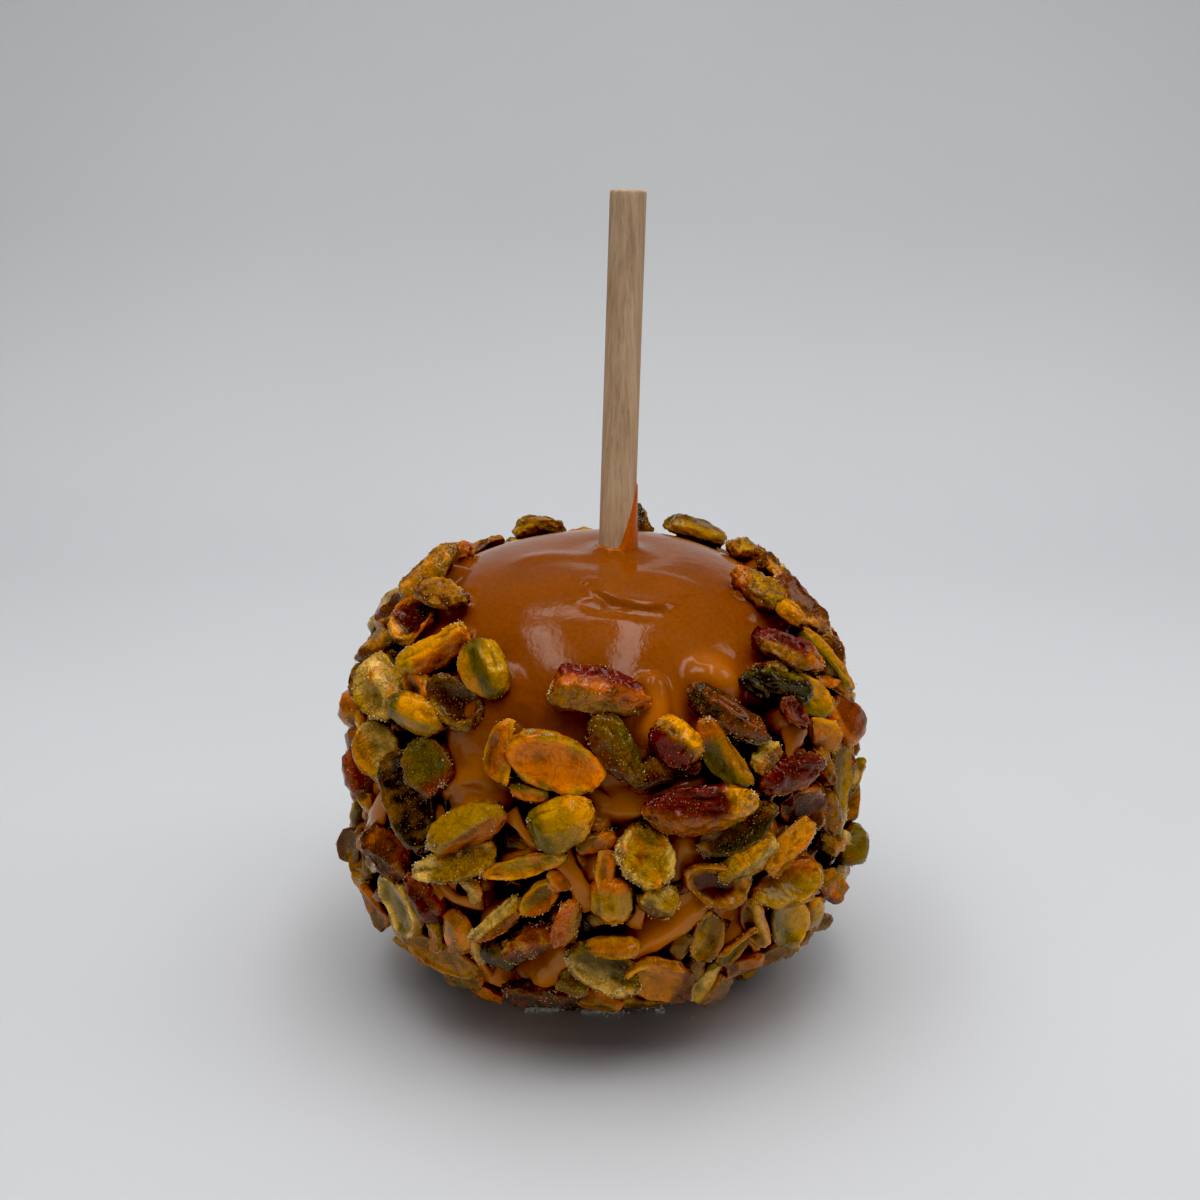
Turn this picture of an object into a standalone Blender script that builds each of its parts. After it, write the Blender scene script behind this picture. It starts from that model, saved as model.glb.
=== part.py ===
"""Caramel apple on a wooden stick, its sides rolled in shelled pistachio kernels.

Units are metres and +Z is up. The origin is the centre of the flat foot that the
apple stands on. The camera side of the apple is -Y.

  caramel_apple   the whole coated apple, with a flat foot and a blind hole for the stick
  stick           a quarter-inch birch dowel that leans a little back and to the right
  nut_coat        the heap of kernels pressed into the sides, out to its uneven outline
  kernel_..       kernels that stand by themselves round the edge of the bare caramel
"""
import math
import random

import bmesh
import bpy
from mathutils import Matrix, Vector, noise

# ---------------------------------------------------------------- driving sizes
MM = 0.001
BODY_RADIUS = 42.7 * MM        # widest caramel radius
BODY_UP = 45.4 * MM            # from the middle height to the top of the caramel
BODY_DOWN = 32.1 * MM          # the same, towards the shoulders of the lower half
BODY_DOWN_FOOT = 37.2 * MM     # the same, at the foot, where the caramel has pooled
BODY_POWER = 2.75              # 2 is an ellipsoid; more is squarer in the shoulders
BODY_CENTRE_Z = 35.8 * MM
BODY_SEGMENTS, BODY_RINGS = 40, 22

STICK_DIAMETER = 6.35 * MM
STICK_LENGTH = 114.3 * MM
STICK_TOP = Vector((4.5, 6.0, 143.5)) * MM
STICK_BASE = Vector((2.6, 0.0, 81.2)) * MM      # where its axis leaves the caramel
STICK_CHAMFER = 0.35 * MM
GAP = 0.3 * MM                 # room left between pieces that touch

COAT_SEGMENTS, COAT_RINGS = 84, 40
COAT_BASE = 1.6 * MM           # thinnest part of the kernel heap
COAT_RISE = (1.8 * MM, 4.6 * MM)
COAT_KERNEL_HALF = (7.4 * MM, 4.4 * MM)
COAT_KERNELS = 210
KERNEL_ROOM = 1.6 * MM         # bare caramel between a standing kernel and the coat

# Kernels that stand by themselves at the edge of the bare caramel:
# name, compass angle from -Y towards +X, angle down from the top, roll in the
# surface (0 runs round the apple, 90 runs down it), length, width, thickness in mm,
# and how far it is turned up on its edge.
KERNELS = [
    ("kernel_front", -1.5, 48.5, 12, 16.5, 7.2, 5.0, 0),
    ("kernel_front_low", -10.5, 63.0, 18, 15.5, 8.0, 4.6, 0),
    ("kernel_front_side", 5.5, 62.0, 62, 12.0, 5.6, 4.4, 0),
    ("kernel_front_round", 18.0, 60.0, 54, 8.4, 6.6, 4.6, 0),
    ("kernel_left_green", -31.0, 46.5, 42, 11.2, 7.2, 5.0, 0),
    ("kernel_left_cup", -37.0, 57.5, 12, 11.5, 6.2, 4.4, 0),
    ("kernel_left_slab", -50.0, 46.0, -46, 14.5, 4.8, 4.4, 10),
    ("kernel_left_dark", -68.5, 46.5, -82, 9.5, 5.6, 4.4, 0),
    ("kernel_left_tan", -72.0, 36.5, -14, 10.5, 5.6, 4.6, 0),
    ("kernel_left_tall", -97.0, 43.0, -60, 13.5, 4.8, 5.2, 25),
    ("kernel_left_small", -112.0, 35.5, -15, 7.2, 4.4, 3.6, 0),
    ("kernel_back_left", -133.0, 41.5, 25, 13.0, 6.4, 4.6, 0),
    ("kernel_back_spiky", -158.0, 40.0, 15, 9.4, 5.0, 5.4, 20),
    ("kernel_back", -177.0, 43.5, -35, 12.5, 6.6, 4.8, 0),
    ("kernel_back_dark", 166.0, 39.5, 80, 8.8, 5.0, 5.8, 0),
    ("kernel_back_green", 147.5, 40.0, 8, 12.2, 5.6, 4.8, 0),
    ("kernel_back_right", 122.5, 39.0, 14, 9.0, 5.0, 4.2, 0),
    ("kernel_right_back", 104.0, 44.0, -40, 12.0, 6.0, 4.6, 0),
    ("kernel_right_rough", 74.0, 35.0, 64, 9.6, 5.2, 4.0, 0),
    ("kernel_right_purple", 82.0, 47.5, 40, 14.0, 5.4, 4.8, 0),
    ("kernel_right_streaked", 57.0, 47.0, 34, 13.8, 5.6, 4.6, 0),
    ("kernel_right_green", 45.5, 55.0, 24, 13.0, 5.2, 4.4, 0),
    ("kernel_right_brown", 28.5, 53.0, 36, 14.5, 5.6, 4.8, 0),
]

CARAMEL = (0.300, 0.091, 0.022, 1.0)
BIRCH = (0.300, 0.190, 0.110, 1.0)
KERNEL_MIX = (0.215, 0.150, 0.030, 1.0)
KERNEL_GREEN = (0.170, 0.190, 0.022, 1.0)
KERNEL_TAN = (0.400, 0.220, 0.060, 1.0)
KERNEL_PURPLE = (0.110, 0.020, 0.035, 1.0)


# ---------------------------------------------------------------- clean start
for old in list(bpy.data.objects):
    bpy.data.objects.remove(old, do_unlink=True)

parts = bpy.data.collections.new("caramel_apple_on_stick")
cutters = bpy.data.collections.new("cutters")
bpy.context.scene.collection.children.link(parts)
bpy.context.scene.collection.children.link(cutters)


def material(name, colour, roughness):
    mat = bpy.data.materials.new(name)
    mat.use_nodes = True
    shader = mat.node_tree.nodes["Principled BSDF"]
    shader.inputs["Base Color"].default_value = colour
    shader.inputs["Roughness"].default_value = roughness
    shader.inputs["Metallic"].default_value = 0.0
    return mat


def smooth_step(low, high, value):
    t = min(1.0, max(0.0, (value - low) / (high - low)))
    return t * t * (3 - 2 * t)


# ---------------------------------------------------------------- the caramel surface
def body_radius(polar):
    """Distance from the body's centre to the caramel, polar radians down from +Z."""
    across, along = abs(math.sin(polar)), abs(math.cos(polar))
    if math.cos(polar) > 0:
        half = BODY_UP
    else:
        half = BODY_DOWN + (BODY_DOWN_FOOT - BODY_DOWN) * smooth_step(
            math.radians(126), math.radians(150), polar)
    p = BODY_POWER
    return ((across / BODY_RADIUS) ** p + (along / half) ** p) ** (-1 / p)


def body_unevenness(direction):
    """Hand-dipped caramel isn't quite round: broad, shallow waves."""
    return 0.45 * MM * noise.noise(direction * 1.7 + Vector((3.1, 0.4, 7.7)))


def surface_point(direction, offset):
    polar = math.acos(max(-1.0, min(1.0, direction.z)))
    radius = body_radius(polar) + body_unevenness(direction) + offset
    return Vector((0, 0, BODY_CENTRE_Z)) + direction * radius


def caramel_mesh(name):
    bm = bmesh.new()
    bmesh.ops.create_uvsphere(bm, u_segments=BODY_SEGMENTS, v_segments=BODY_RINGS, radius=1.0)
    for v in bm.verts:
        v.co = surface_point(v.co.normalized(), 0.0)
        v.co.z = max(v.co.z, 0.0)
    mesh = bpy.data.meshes.new(name)
    bm.to_mesh(mesh)
    bm.free()
    return mesh


def add(name, mesh, mat, collection):
    obj = bpy.data.objects.new(name, mesh)
    collection.objects.link(obj)
    if mat is not None:
        mesh.materials.append(mat)
    return obj


def add_cut(obj, cutter):
    cut = obj.modifiers.new("cut", "BOOLEAN")
    cut.operation = "DIFFERENCE"
    cut.solver = "EXACT"
    cut.object = cutter


def hide_cutter(obj):
    obj.hide_render = True
    obj.display_type = "WIRE"


# ---------------------------------------------------------------- apple in caramel
apple = add("caramel_apple", caramel_mesh("caramel_apple"),
            material("caramel", CARAMEL, 0.28), parts)
apple.data.shade_smooth()

# ---------------------------------------------------------------- stick and its hole
lean = (STICK_TOP - STICK_BASE).normalized()
turn = Vector((0, 0, 1)).rotation_difference(lean)


def dowel_mesh(name, radius, length, segments):
    bm = bmesh.new()
    bmesh.ops.create_cone(bm, cap_ends=True, segments=segments, radius1=radius,
                          radius2=radius, depth=length)
    mesh = bpy.data.meshes.new(name)
    bm.to_mesh(mesh)
    bm.free()
    return mesh


stick = add("stick", dowel_mesh("stick", STICK_DIAMETER / 2, STICK_LENGTH, 24),
            material("birch", BIRCH, 0.65), parts)
stick.location = STICK_TOP - lean * (STICK_LENGTH / 2)
stick.rotation_mode = "QUATERNION"
stick.rotation_quaternion = turn
rim = stick.modifiers.new("rim", "BEVEL")
rim.width = STICK_CHAMFER
rim.segments = 1
rim.limit_method = "ANGLE"
rim.angle_limit = math.radians(60)
stick.data.shade_smooth()
stick.data.set_sharp_from_angle(angle=math.radians(40))

hole_length = STICK_LENGTH + 2 * GAP
hole = add("stick_hole_cutter",
           dowel_mesh("stick_hole_cutter", STICK_DIAMETER / 2 + GAP, hole_length, 24),
           None, cutters)
hole.location = STICK_TOP - lean * (hole_length / 2 - GAP)
hole.rotation_mode = "QUATERNION"
hole.rotation_quaternion = turn
hide_cutter(hole)
add_cut(apple, hole)


# ---------------------------------------------------------------- directions on the apple
def compass(azimuth, polar):
    """Outward, eastward and downward unit vectors at a place on the apple, in degrees."""
    a, t = math.radians(azimuth), math.radians(polar)
    out = Vector((math.sin(t) * math.sin(a), -math.sin(t) * math.cos(a), math.cos(t)))
    east = Vector((math.cos(a), math.sin(a), 0))
    down = out.cross(east) * -1
    if down.z > 0:
        down = -down
    return out, east, down


# ---------------------------------------------------------------- single kernels
def kernel_mesh(name, length, width, thick, place, seed):
    """A half kernel: pointed at one end, domed outside, flatter underneath.
    It is kept clear of the caramel that it sits on."""
    bm = bmesh.new()
    bmesh.ops.create_uvsphere(bm, u_segments=10, v_segments=7, radius=1.0)
    for v in bm.verts:
        along, side, high = v.co.z, v.co.x, v.co.y
        taper = 1.0 - 0.20 * along
        side *= taper
        high *= taper * (1.0 if high > 0 else 0.62)
        lump = 1.0 + 0.09 * noise.noise(Vector((along * 1.6, side * 1.6, seed * 5.3)))
        v.co = Vector((along * length / 2, side * width / 2 * lump, high * thick / 2 * lump))
        world = place @ v.co
        rel = world - Vector((0, 0, BODY_CENTRE_Z))
        floor = surface_point(rel.normalized(), GAP + 0.1 * MM)
        if rel.length < (floor - Vector((0, 0, BODY_CENTRE_Z))).length:
            v.co = place.inverted() @ floor
    mesh = bpy.data.meshes.new(name)
    bm.to_mesh(mesh)
    bm.free()
    return mesh


kernel_materials = {
    "green": material("kernel_green", KERNEL_GREEN, 0.5),
    "tan": material("kernel_tan", KERNEL_TAN, 0.5),
    "purple": material("kernel_purple", KERNEL_PURPLE, 0.55),
}


def kernel_material(name):
    if any(word in name for word in ("green", "cup", "side", "tall", "round")):
        return kernel_materials["green"]
    if any(word in name for word in ("dark", "purple", "brown")):
        return kernel_materials["purple"]
    return kernel_materials["tan"]


STANDING = []
for number, (name, azimuth, polar, roll, length, width, thick, edge) in enumerate(KERNELS):
    out, east, down = compass(azimuth, polar)
    r = math.radians(roll)
    axis = east * math.cos(r) + down * math.sin(r)
    side = out.cross(axis)
    STANDING.append((out, axis, side, length / 2 * MM, width / 2 * MM))
    turn_edge = Matrix.Rotation(math.radians(edge), 3, axis)
    side, up = turn_edge @ side, turn_edge @ out
    lift = (0.32 * thick + 0.20 * abs(math.sin(math.radians(edge))) * width) * MM
    centre = surface_point(out, lift)
    place = Matrix((
        (axis.x, side.x, up.x, centre.x),
        (axis.y, side.y, up.y, centre.y),
        (axis.z, side.z, up.z, centre.z),
        (0, 0, 0, 1),
    ))
    kernel = add(name, kernel_mesh(name, length * MM, width * MM, thick * MM, place, number),
                 kernel_material(name), parts)
    kernel.matrix_world = place
    kernel.data.shade_smooth()


# ---------------------------------------------------------------- the coat of kernels
def coat_rim(azimuth):
    """Angle down from the top at which the closed coat starts, in degrees."""
    a = math.radians(azimuth)
    front = math.exp(-((azimuth - 2.0) / 27.0) ** 2)
    return (55.0 - 5.0 * (1 - math.cos(a)) / 2 + 14.5 * front
            + 1.2 * math.sin(3 * a + 0.6) + 0.8 * math.sin(7 * a))


def coat_kernels():
    """Where the heap's kernels lie: evenly spread over the sides, each turned its own way."""
    rng = random.Random(41)
    golden = math.pi * (3 - math.sqrt(5))
    placed = []
    top, bottom = math.cos(math.radians(50)), math.cos(math.radians(150))
    for i in range(COAT_KERNELS):
        height = top + (bottom - top) * (i + 0.5) / COAT_KERNELS
        polar = math.degrees(math.acos(height)) + rng.uniform(-2, 2)
        azimuth = math.degrees(golden * i) + rng.uniform(-4, 4)
        out, east, down = compass(azimuth, polar)
        r = rng.uniform(0, math.pi)
        axis = east * math.cos(r) + down * math.sin(r)
        size = rng.uniform(0.8, 1.15)
        placed.append((out, axis, out.cross(axis), rng.uniform(*COAT_RISE),
                       COAT_KERNEL_HALF[0] * size, COAT_KERNEL_HALF[1] * size))
    return placed


HEAP = coat_kernels()


def room_round_kernels(direction):
    """0 at a kernel that stands by itself, 1 where the coat is free of them all."""
    free = 1.0
    for out, axis, side, half_l, half_w in STANDING:
        if direction.dot(out) < 0.9:
            continue
        u = direction.dot(axis) * BODY_RADIUS / (half_l + KERNEL_ROOM)
        w = direction.dot(side) * BODY_RADIUS / (half_w + KERNEL_ROOM)
        free = min(free, smooth_step(1.0, 1.5, math.sqrt(u * u + w * w)))
    return free


def coat_thickness(direction):
    polar = math.degrees(math.acos(max(-1.0, min(1.0, direction.z))))
    azimuth = math.degrees(math.atan2(direction.x, -direction.y))
    top = 0.0
    for out, axis, side, rise, half_l, half_w in HEAP:
        if direction.dot(out) < 0.9:
            continue
        u = direction.dot(axis) * BODY_RADIUS / half_l
        w = direction.dot(side) * BODY_RADIUS / half_w
        d = u * u + w * w
        if d < 1:
            top = max(top, rise * math.sqrt(1 - d))
    edge = smooth_step(coat_rim(azimuth) - 4.5, coat_rim(azimuth) + 2.5, polar)
    edge *= room_round_kernels(direction)
    return (COAT_BASE + top + 1.2 * MM) * edge - 1.2 * MM


bm = bmesh.new()
bmesh.ops.create_uvsphere(bm, u_segments=COAT_SEGMENTS, v_segments=COAT_RINGS, radius=1.0)
for v in bm.verts:
    direction = v.co.normalized()
    v.co = surface_point(direction, coat_thickness(direction))
    v.co.z = max(v.co.z, 0.0)
coat_mesh = bpy.data.meshes.new("nut_coat")
bm.to_mesh(coat_mesh)
bm.free()
coat = add("nut_coat", coat_mesh, material("kernel_mix", KERNEL_MIX, 0.55), parts)
coat.data.shade_smooth()

# The space that the caramel fills, a gap wider, is taken out of the coat.
core_mesh = caramel_mesh("caramel_space_cutter")
grown = [v.co + v.normal * GAP for v in core_mesh.vertices]
for v, co in zip(core_mesh.vertices, grown):
    if v.co.z < 0.05 * MM:
        co.x *= 1 + GAP / max(v.co.xy.length, 0.001)
        co.y *= 1 + GAP / max(v.co.xy.length, 0.001)
        co.z = -1.0 * MM
    v.co = co
core = add("caramel_space_cutter", core_mesh, None, cutters)
hide_cutter(core)
add_cut(coat, core)
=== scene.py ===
import math

import bpy
import numpy as np
from mathutils import Matrix, Vector


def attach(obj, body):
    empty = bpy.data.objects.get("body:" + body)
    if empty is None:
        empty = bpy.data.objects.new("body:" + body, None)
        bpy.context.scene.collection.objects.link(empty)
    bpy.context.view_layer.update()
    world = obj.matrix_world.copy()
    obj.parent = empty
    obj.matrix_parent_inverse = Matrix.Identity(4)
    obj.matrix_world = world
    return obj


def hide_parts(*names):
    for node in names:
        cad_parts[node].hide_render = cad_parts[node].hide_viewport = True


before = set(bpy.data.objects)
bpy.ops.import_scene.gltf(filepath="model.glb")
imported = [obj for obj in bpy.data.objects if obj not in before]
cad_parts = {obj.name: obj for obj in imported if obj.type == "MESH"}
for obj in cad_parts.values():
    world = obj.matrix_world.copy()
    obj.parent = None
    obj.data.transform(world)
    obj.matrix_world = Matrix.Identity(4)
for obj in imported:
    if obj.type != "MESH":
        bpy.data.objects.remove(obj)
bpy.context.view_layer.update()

# =====================================================================
# Sizes in millimetres, as in the CAD; meshes are written in metres.
# =====================================================================
RADIUS, UP, DOWN, DOWN_FOOT, POWER, CZ = 42.7, 45.4, 32.1, 37.2, 2.75, 35.8
STICK_R = 6.35 / 2
STICK_LEN = 114.3
STICK_TOP = np.array([4.5, 6.0, 143.5])
STICK_BASE = np.array([2.6, 0.0, 81.2])
LEAN = (STICK_TOP - STICK_BASE) / np.linalg.norm(STICK_TOP - STICK_BASE)

# Camera: at the photograph's viewing angle
CAM = np.array([-0.35, -300.0, 172.2])
PITCH = math.radians(18.54)
FOCAL_PX = 1751.0
C_RIGHT = np.array([1.0, 0, 0])
C_FWD = np.array([0, math.cos(PITCH), -math.sin(PITCH)])
C_UP = np.array([0, math.sin(PITCH), math.cos(PITCH)])


def rad(a):
    return math.radians(a)


# =====================================================================
# Noise and small helpers
# =====================================================================
_r = np.random.default_rng(11)
PERM = _r.permutation(256)
_g = _r.normal(size=(256, 3))
GRAD = _g / np.linalg.norm(_g, axis=1)[:, None]


def noise3(p):
    """Smooth noise from about -1 to 1 at each point of p (..., 3)."""
    p = np.asarray(p, float)
    i = np.floor(p).astype(int)
    f = p - i
    u = f * f * f * (f * (f * 6 - 15) + 10)
    total = 0.0
    for dx in (0, 1):
        wx = u[..., 0] if dx else 1 - u[..., 0]
        for dy in (0, 1):
            wy = u[..., 1] if dy else 1 - u[..., 1]
            for dz in (0, 1):
                wz = u[..., 2] if dz else 1 - u[..., 2]
                h = PERM[(PERM[(PERM[(i[..., 0] + dx) & 255] + i[..., 1] + dy) & 255] + i[..., 2] + dz) & 255]
                d = f - np.array([dx, dy, dz])
                total = total + wx * wy * wz * (GRAD[h] * d).sum(-1)
    return total * 1.6


def fbm(p, octaves=3):
    out, amp, k = 0.0, 1.0, 1.0
    for _ in range(octaves):
        out = out + amp * noise3(p * k + 13.7 * k)
        amp *= 0.5
        k *= 2.03
    return out


def sstep(a, b, x):
    t = np.clip((x - a) / (b - a), 0, 1)
    return t * t * (3 - 2 * t)


def unit(v):
    v = np.asarray(v, float)
    return v / np.maximum(np.linalg.norm(v, axis=-1, keepdims=True), 1e-12)


def lin(r, g, b):
    """A colour given as 0-255 display values, as linear light."""
    c = np.array([r, g, b], float) / 255
    return np.where(c <= 0.04045, c / 12.92, ((c + 0.055) / 1.055) ** 2.4)


# =====================================================================
# The caramel's smooth shape
# =====================================================================
def body_r(T):
    s, c = np.abs(np.sin(T)), np.abs(np.cos(T))
    k = sstep(rad(126), rad(150), T)
    half = np.where(np.cos(T) > 0, UP, DOWN + (DOWN_FOOT - DOWN) * k)
    return ((s / RADIUS) ** POWER + (c / half) ** POWER) ** (-1 / POWER)


def body_gap(P):
    """How far a point is outside the caramel, along the ray from the centre."""
    q = np.asarray(P, float) - np.array([0, 0, CZ])
    R = np.linalg.norm(q, axis=-1)
    T = np.arccos(np.clip(q[..., 2] / np.maximum(R, 1e-9), -1, 1))
    return R - body_r(T)


def body_normal(P):
    P = np.asarray(P, float)
    g = []
    for k in range(3):
        e = np.zeros(3)
        e[k] = 0.2
        g.append(body_gap(P + e) - body_gap(P - e))
    return unit(np.stack(g, -1))


def on_body(az, T, off=0.0):
    a, t = rad(az), rad(T)
    r = float(body_r(np.array(t))) + off
    return np.array([r * math.sin(t) * math.sin(a), -r * math.sin(t) * math.cos(a), CZ + r * math.cos(t)])


def land(px, py, off=0.0):
    """Where the camera's ray through a pixel meets the caramel, off mm above it.
    Past the outline it gives the nearest point to the ray."""
    d = unit(C_FWD + C_RIGHT * (px - 600) / FOCAL_PX - C_UP * (py - 600) / FOCAL_PX)
    t = np.linspace(200, 400, 1601)
    P = CAM + t[:, None] * d
    g = body_gap(P) - off
    inside = np.where(g < 0)[0]
    i = inside[0] if len(inside) else int(np.argmin(g))
    return P[i]


def pixel(P):
    q = np.asarray(P, float) - CAM
    z = q @ C_FWD
    return 600 + FOCAL_PX * (q @ C_RIGHT) / z, 600 - FOCAL_PX * (q @ C_UP) / z


# =====================================================================
# Mesh making
# =====================================================================
def make_mesh(name, verts, faces, tints=None, smooth=True, extra=None):
    """verts in mm. faces: an (n, 4) or (n, 3) array, or a list of such arrays."""
    mesh = bpy.data.meshes.new(name)
    blocks = faces if isinstance(faces, list) else [faces]
    blocks = [np.asarray(b, np.int32) for b in blocks if len(b)]
    verts = np.asarray(verts, np.float32) * 0.001
    loops = np.concatenate([b.reshape(-1) for b in blocks])
    sizes = np.concatenate([np.full(len(b), b.shape[1], np.int32) for b in blocks])
    starts = np.concatenate([[0], np.cumsum(sizes)[:-1]]).astype(np.int32)
    mesh.vertices.add(len(verts))
    mesh.vertices.foreach_set("co", verts.reshape(-1))
    mesh.loops.add(len(loops))
    mesh.loops.foreach_set("vertex_index", loops)
    mesh.polygons.add(len(sizes))
    mesh.polygons.foreach_set("loop_start", starts)
    mesh.polygons.foreach_set("use_smooth", np.full(len(sizes), smooth))
    mesh.update(calc_edges=True)
    if tints is not None:
        at = mesh.color_attributes.new("tint", "FLOAT_COLOR", "POINT")
        rgba = np.concatenate([tints, np.ones((len(tints), 1))], 1).astype(np.float32)
        at.data.foreach_set("color", rgba.reshape(-1))
    for key, values in (extra or {}).items():
        at = mesh.attributes.new(key, "FLOAT", "POINT")
        at.data.foreach_set("value", np.asarray(values, np.float32))
    mesh.validate()
    obj = bpy.data.objects.new(name, mesh)
    bpy.context.scene.collection.objects.link(obj)
    return obj


def grid_faces(rows, cols, wrap=True, start=0):
    """Quads of a rows x cols grid of points, closed round the columns."""
    i = np.arange(rows - 1)[:, None]
    j = np.arange(cols if wrap else cols - 1)[None, :]
    k = (j + 1) % cols
    a, b = i * cols + j, i * cols + k
    c, d = (i + 1) * cols + k, (i + 1) * cols + j
    return np.stack([a, b, c, d], -1).reshape(-1, 4) + start


# =====================================================================
# Materials
# =====================================================================
class Nodes:
    """A short way to write a node material."""

    def __init__(self, name):
        self.mat = bpy.data.materials.new(name)
        self.mat.use_nodes = True
        self.tree = self.mat.node_tree
        self.bsdf = self.tree.nodes["Principled BSDF"]
        self.out = self.tree.nodes["Material Output"]

    def node(self, kind, **props):
        n = self.tree.nodes.new(kind)
        for k, v in props.items():
            setattr(n, k, v)
        return n

    def link(self, a, b):
        self.tree.links.new(a, b)

    def coords(self, scale=1.0, stretch=(1, 1, 1)):
        tc = self.node("ShaderNodeTexCoord")
        mp = self.node("ShaderNodeMapping")
        mp.inputs["Scale"].default_value = [scale * s for s in stretch]
        self.link(tc.outputs["Object"], mp.inputs["Vector"])
        return mp.outputs["Vector"]

    def noise(self, vector, scale, detail=4.0, rough=0.55, distortion=0.0):
        n = self.node("ShaderNodeTexNoise")
        n.inputs["Scale"].default_value = scale
        n.inputs["Detail"].default_value = detail
        n.inputs["Roughness"].default_value = rough
        n.inputs["Distortion"].default_value = distortion
        self.link(vector, n.inputs["Vector"])
        return n.outputs["Fac"]

    def voronoi(self, vector, scale, feature="F1"):
        n = self.node("ShaderNodeTexVoronoi")
        n.feature = feature
        n.inputs["Scale"].default_value = scale
        self.link(vector, n.inputs["Vector"])
        return n.outputs["Distance"]

    def ramp(self, fac, stops, mode="LINEAR"):
        n = self.node("ShaderNodeValToRGB")
        n.color_ramp.interpolation = mode
        e = n.color_ramp.elements
        while len(e) > 1:
            e.remove(e[-1])
        for k, (pos, col) in enumerate(stops):
            el = e[0] if k == 0 else e.new(pos)
            el.position = pos
            if np.ndim(col) == 0:
                col = (col, col, col)
            el.color = (*[float(x) for x in col], 1.0)
        self.link(fac, n.inputs["Fac"])
        return n.outputs["Color"]

    def mix(self, fac, a, b, mode="MIX"):
        n = self.node("ShaderNodeMix")
        n.data_type = "RGBA"
        n.blend_type = mode
        for sock, val in ((n.inputs[0], fac), (n.inputs[6], a), (n.inputs[7], b)):
            if hasattr(val, "is_linked") or hasattr(val, "links"):
                self.link(val, sock)
            elif np.ndim(val) == 0:
                sock.default_value = float(val)
            else:
                sock.default_value = (*[float(x) for x in val], 1.0)
        return n.outputs[2]

    def math(self, op, a, b=0.0, clamp=False):
        n = self.node("ShaderNodeMath")
        n.operation = op
        n.use_clamp = clamp
        for k, val in enumerate((a, b)):
            if hasattr(val, "links"):
                self.link(val, n.inputs[k])
            else:
                n.inputs[k].default_value = float(val)
        return n.outputs[0]

    def bump(self, height, strength, distance, normal=None):
        n = self.node("ShaderNodeBump")
        n.inputs["Strength"].default_value = strength
        n.inputs["Distance"].default_value = distance
        self.link(height, n.inputs["Height"])
        if normal is not None:
            self.link(normal, n.inputs["Normal"])
        return n.outputs["Normal"]

    def set(self, **values):
        for key, val in values.items():
            sock = self.bsdf.inputs[key.replace("_", " ")]
            if hasattr(val, "links"):
                self.link(val, sock)
            elif np.ndim(val) == 0:
                sock.default_value = float(val)
            elif len(val) == 3 and sock.type == "RGBA":
                sock.default_value = (*[float(x) for x in val], 1.0)
            else:
                sock.default_value = [float(x) for x in val]
        return self


def caramel_material(name, light, dark, rough=0.13, sss=0.10, grain=1.0):
    m = Nodes(name)
    v = m.coords()
    slow = m.noise(v, 45, 3, 0.5)
    base = m.ramp(slow, [(0.30, dark), (0.70, light)])
    speck = m.ramp(m.noise(v, 1500, 2, 0.5), [(0.35, 0.90), (0.65, 1.06)])
    base = m.mix(1.0, base, speck, "MULTIPLY")
    # painted light: paler lower down, most below about 44 mm and none above 68 mm, where the caramel gets less light
    sep = m.node("ShaderNodeSeparateXYZ")
    m.link(m.coords(), sep.inputs[0])
    low = m.ramp(m.math("MULTIPLY", sep.outputs[2], 10.0), [(0.44, 0.74), (0.68, 0.0)], "EASE")
    base = m.mix(low, base, lin(200, 126, 42))
    # painted light: paler caramel at a few spots that lie in shade
    thickness_and_painted_light = m.node("ShaderNodeAttribute", attribute_name="pale")
    base = m.mix(thickness_and_painted_light.outputs["Fac"], base, lin(228, 138, 46))
    # painted shade: caramel painted near black in the hollows between the kernels
    painted_shade_node = m.node("ShaderNodeAttribute", attribute_name="hollow")
    base = m.mix(painted_shade_node.outputs["Fac"], base, lin(27, 14, 4))
    pore = m.noise(v, 1350, 3, 0.55)
    peel = m.noise(v, 420, 2, 0.5)
    wave = m.noise(v, 110, 2, 0.5)
    n = m.bump(wave, 0.14 * grain, 0.0012)
    n = m.bump(peel, 0.12 * grain, 0.0004, n)
    n = m.bump(pore, 0.24 * grain, 0.00012, n)
    ro = m.ramp(m.noise(v, 160, 3), [(0.3, rough - 0.05), (0.7, rough + 0.07)])
    m.set(Base_Color=base, Roughness=ro, Normal=n, IOR=1.44)
    m.set(Subsurface_Weight=sss, Subsurface_Radius=(1.0, 0.42, 0.16), Subsurface_Scale=0.0022)
    return m.mat


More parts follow.
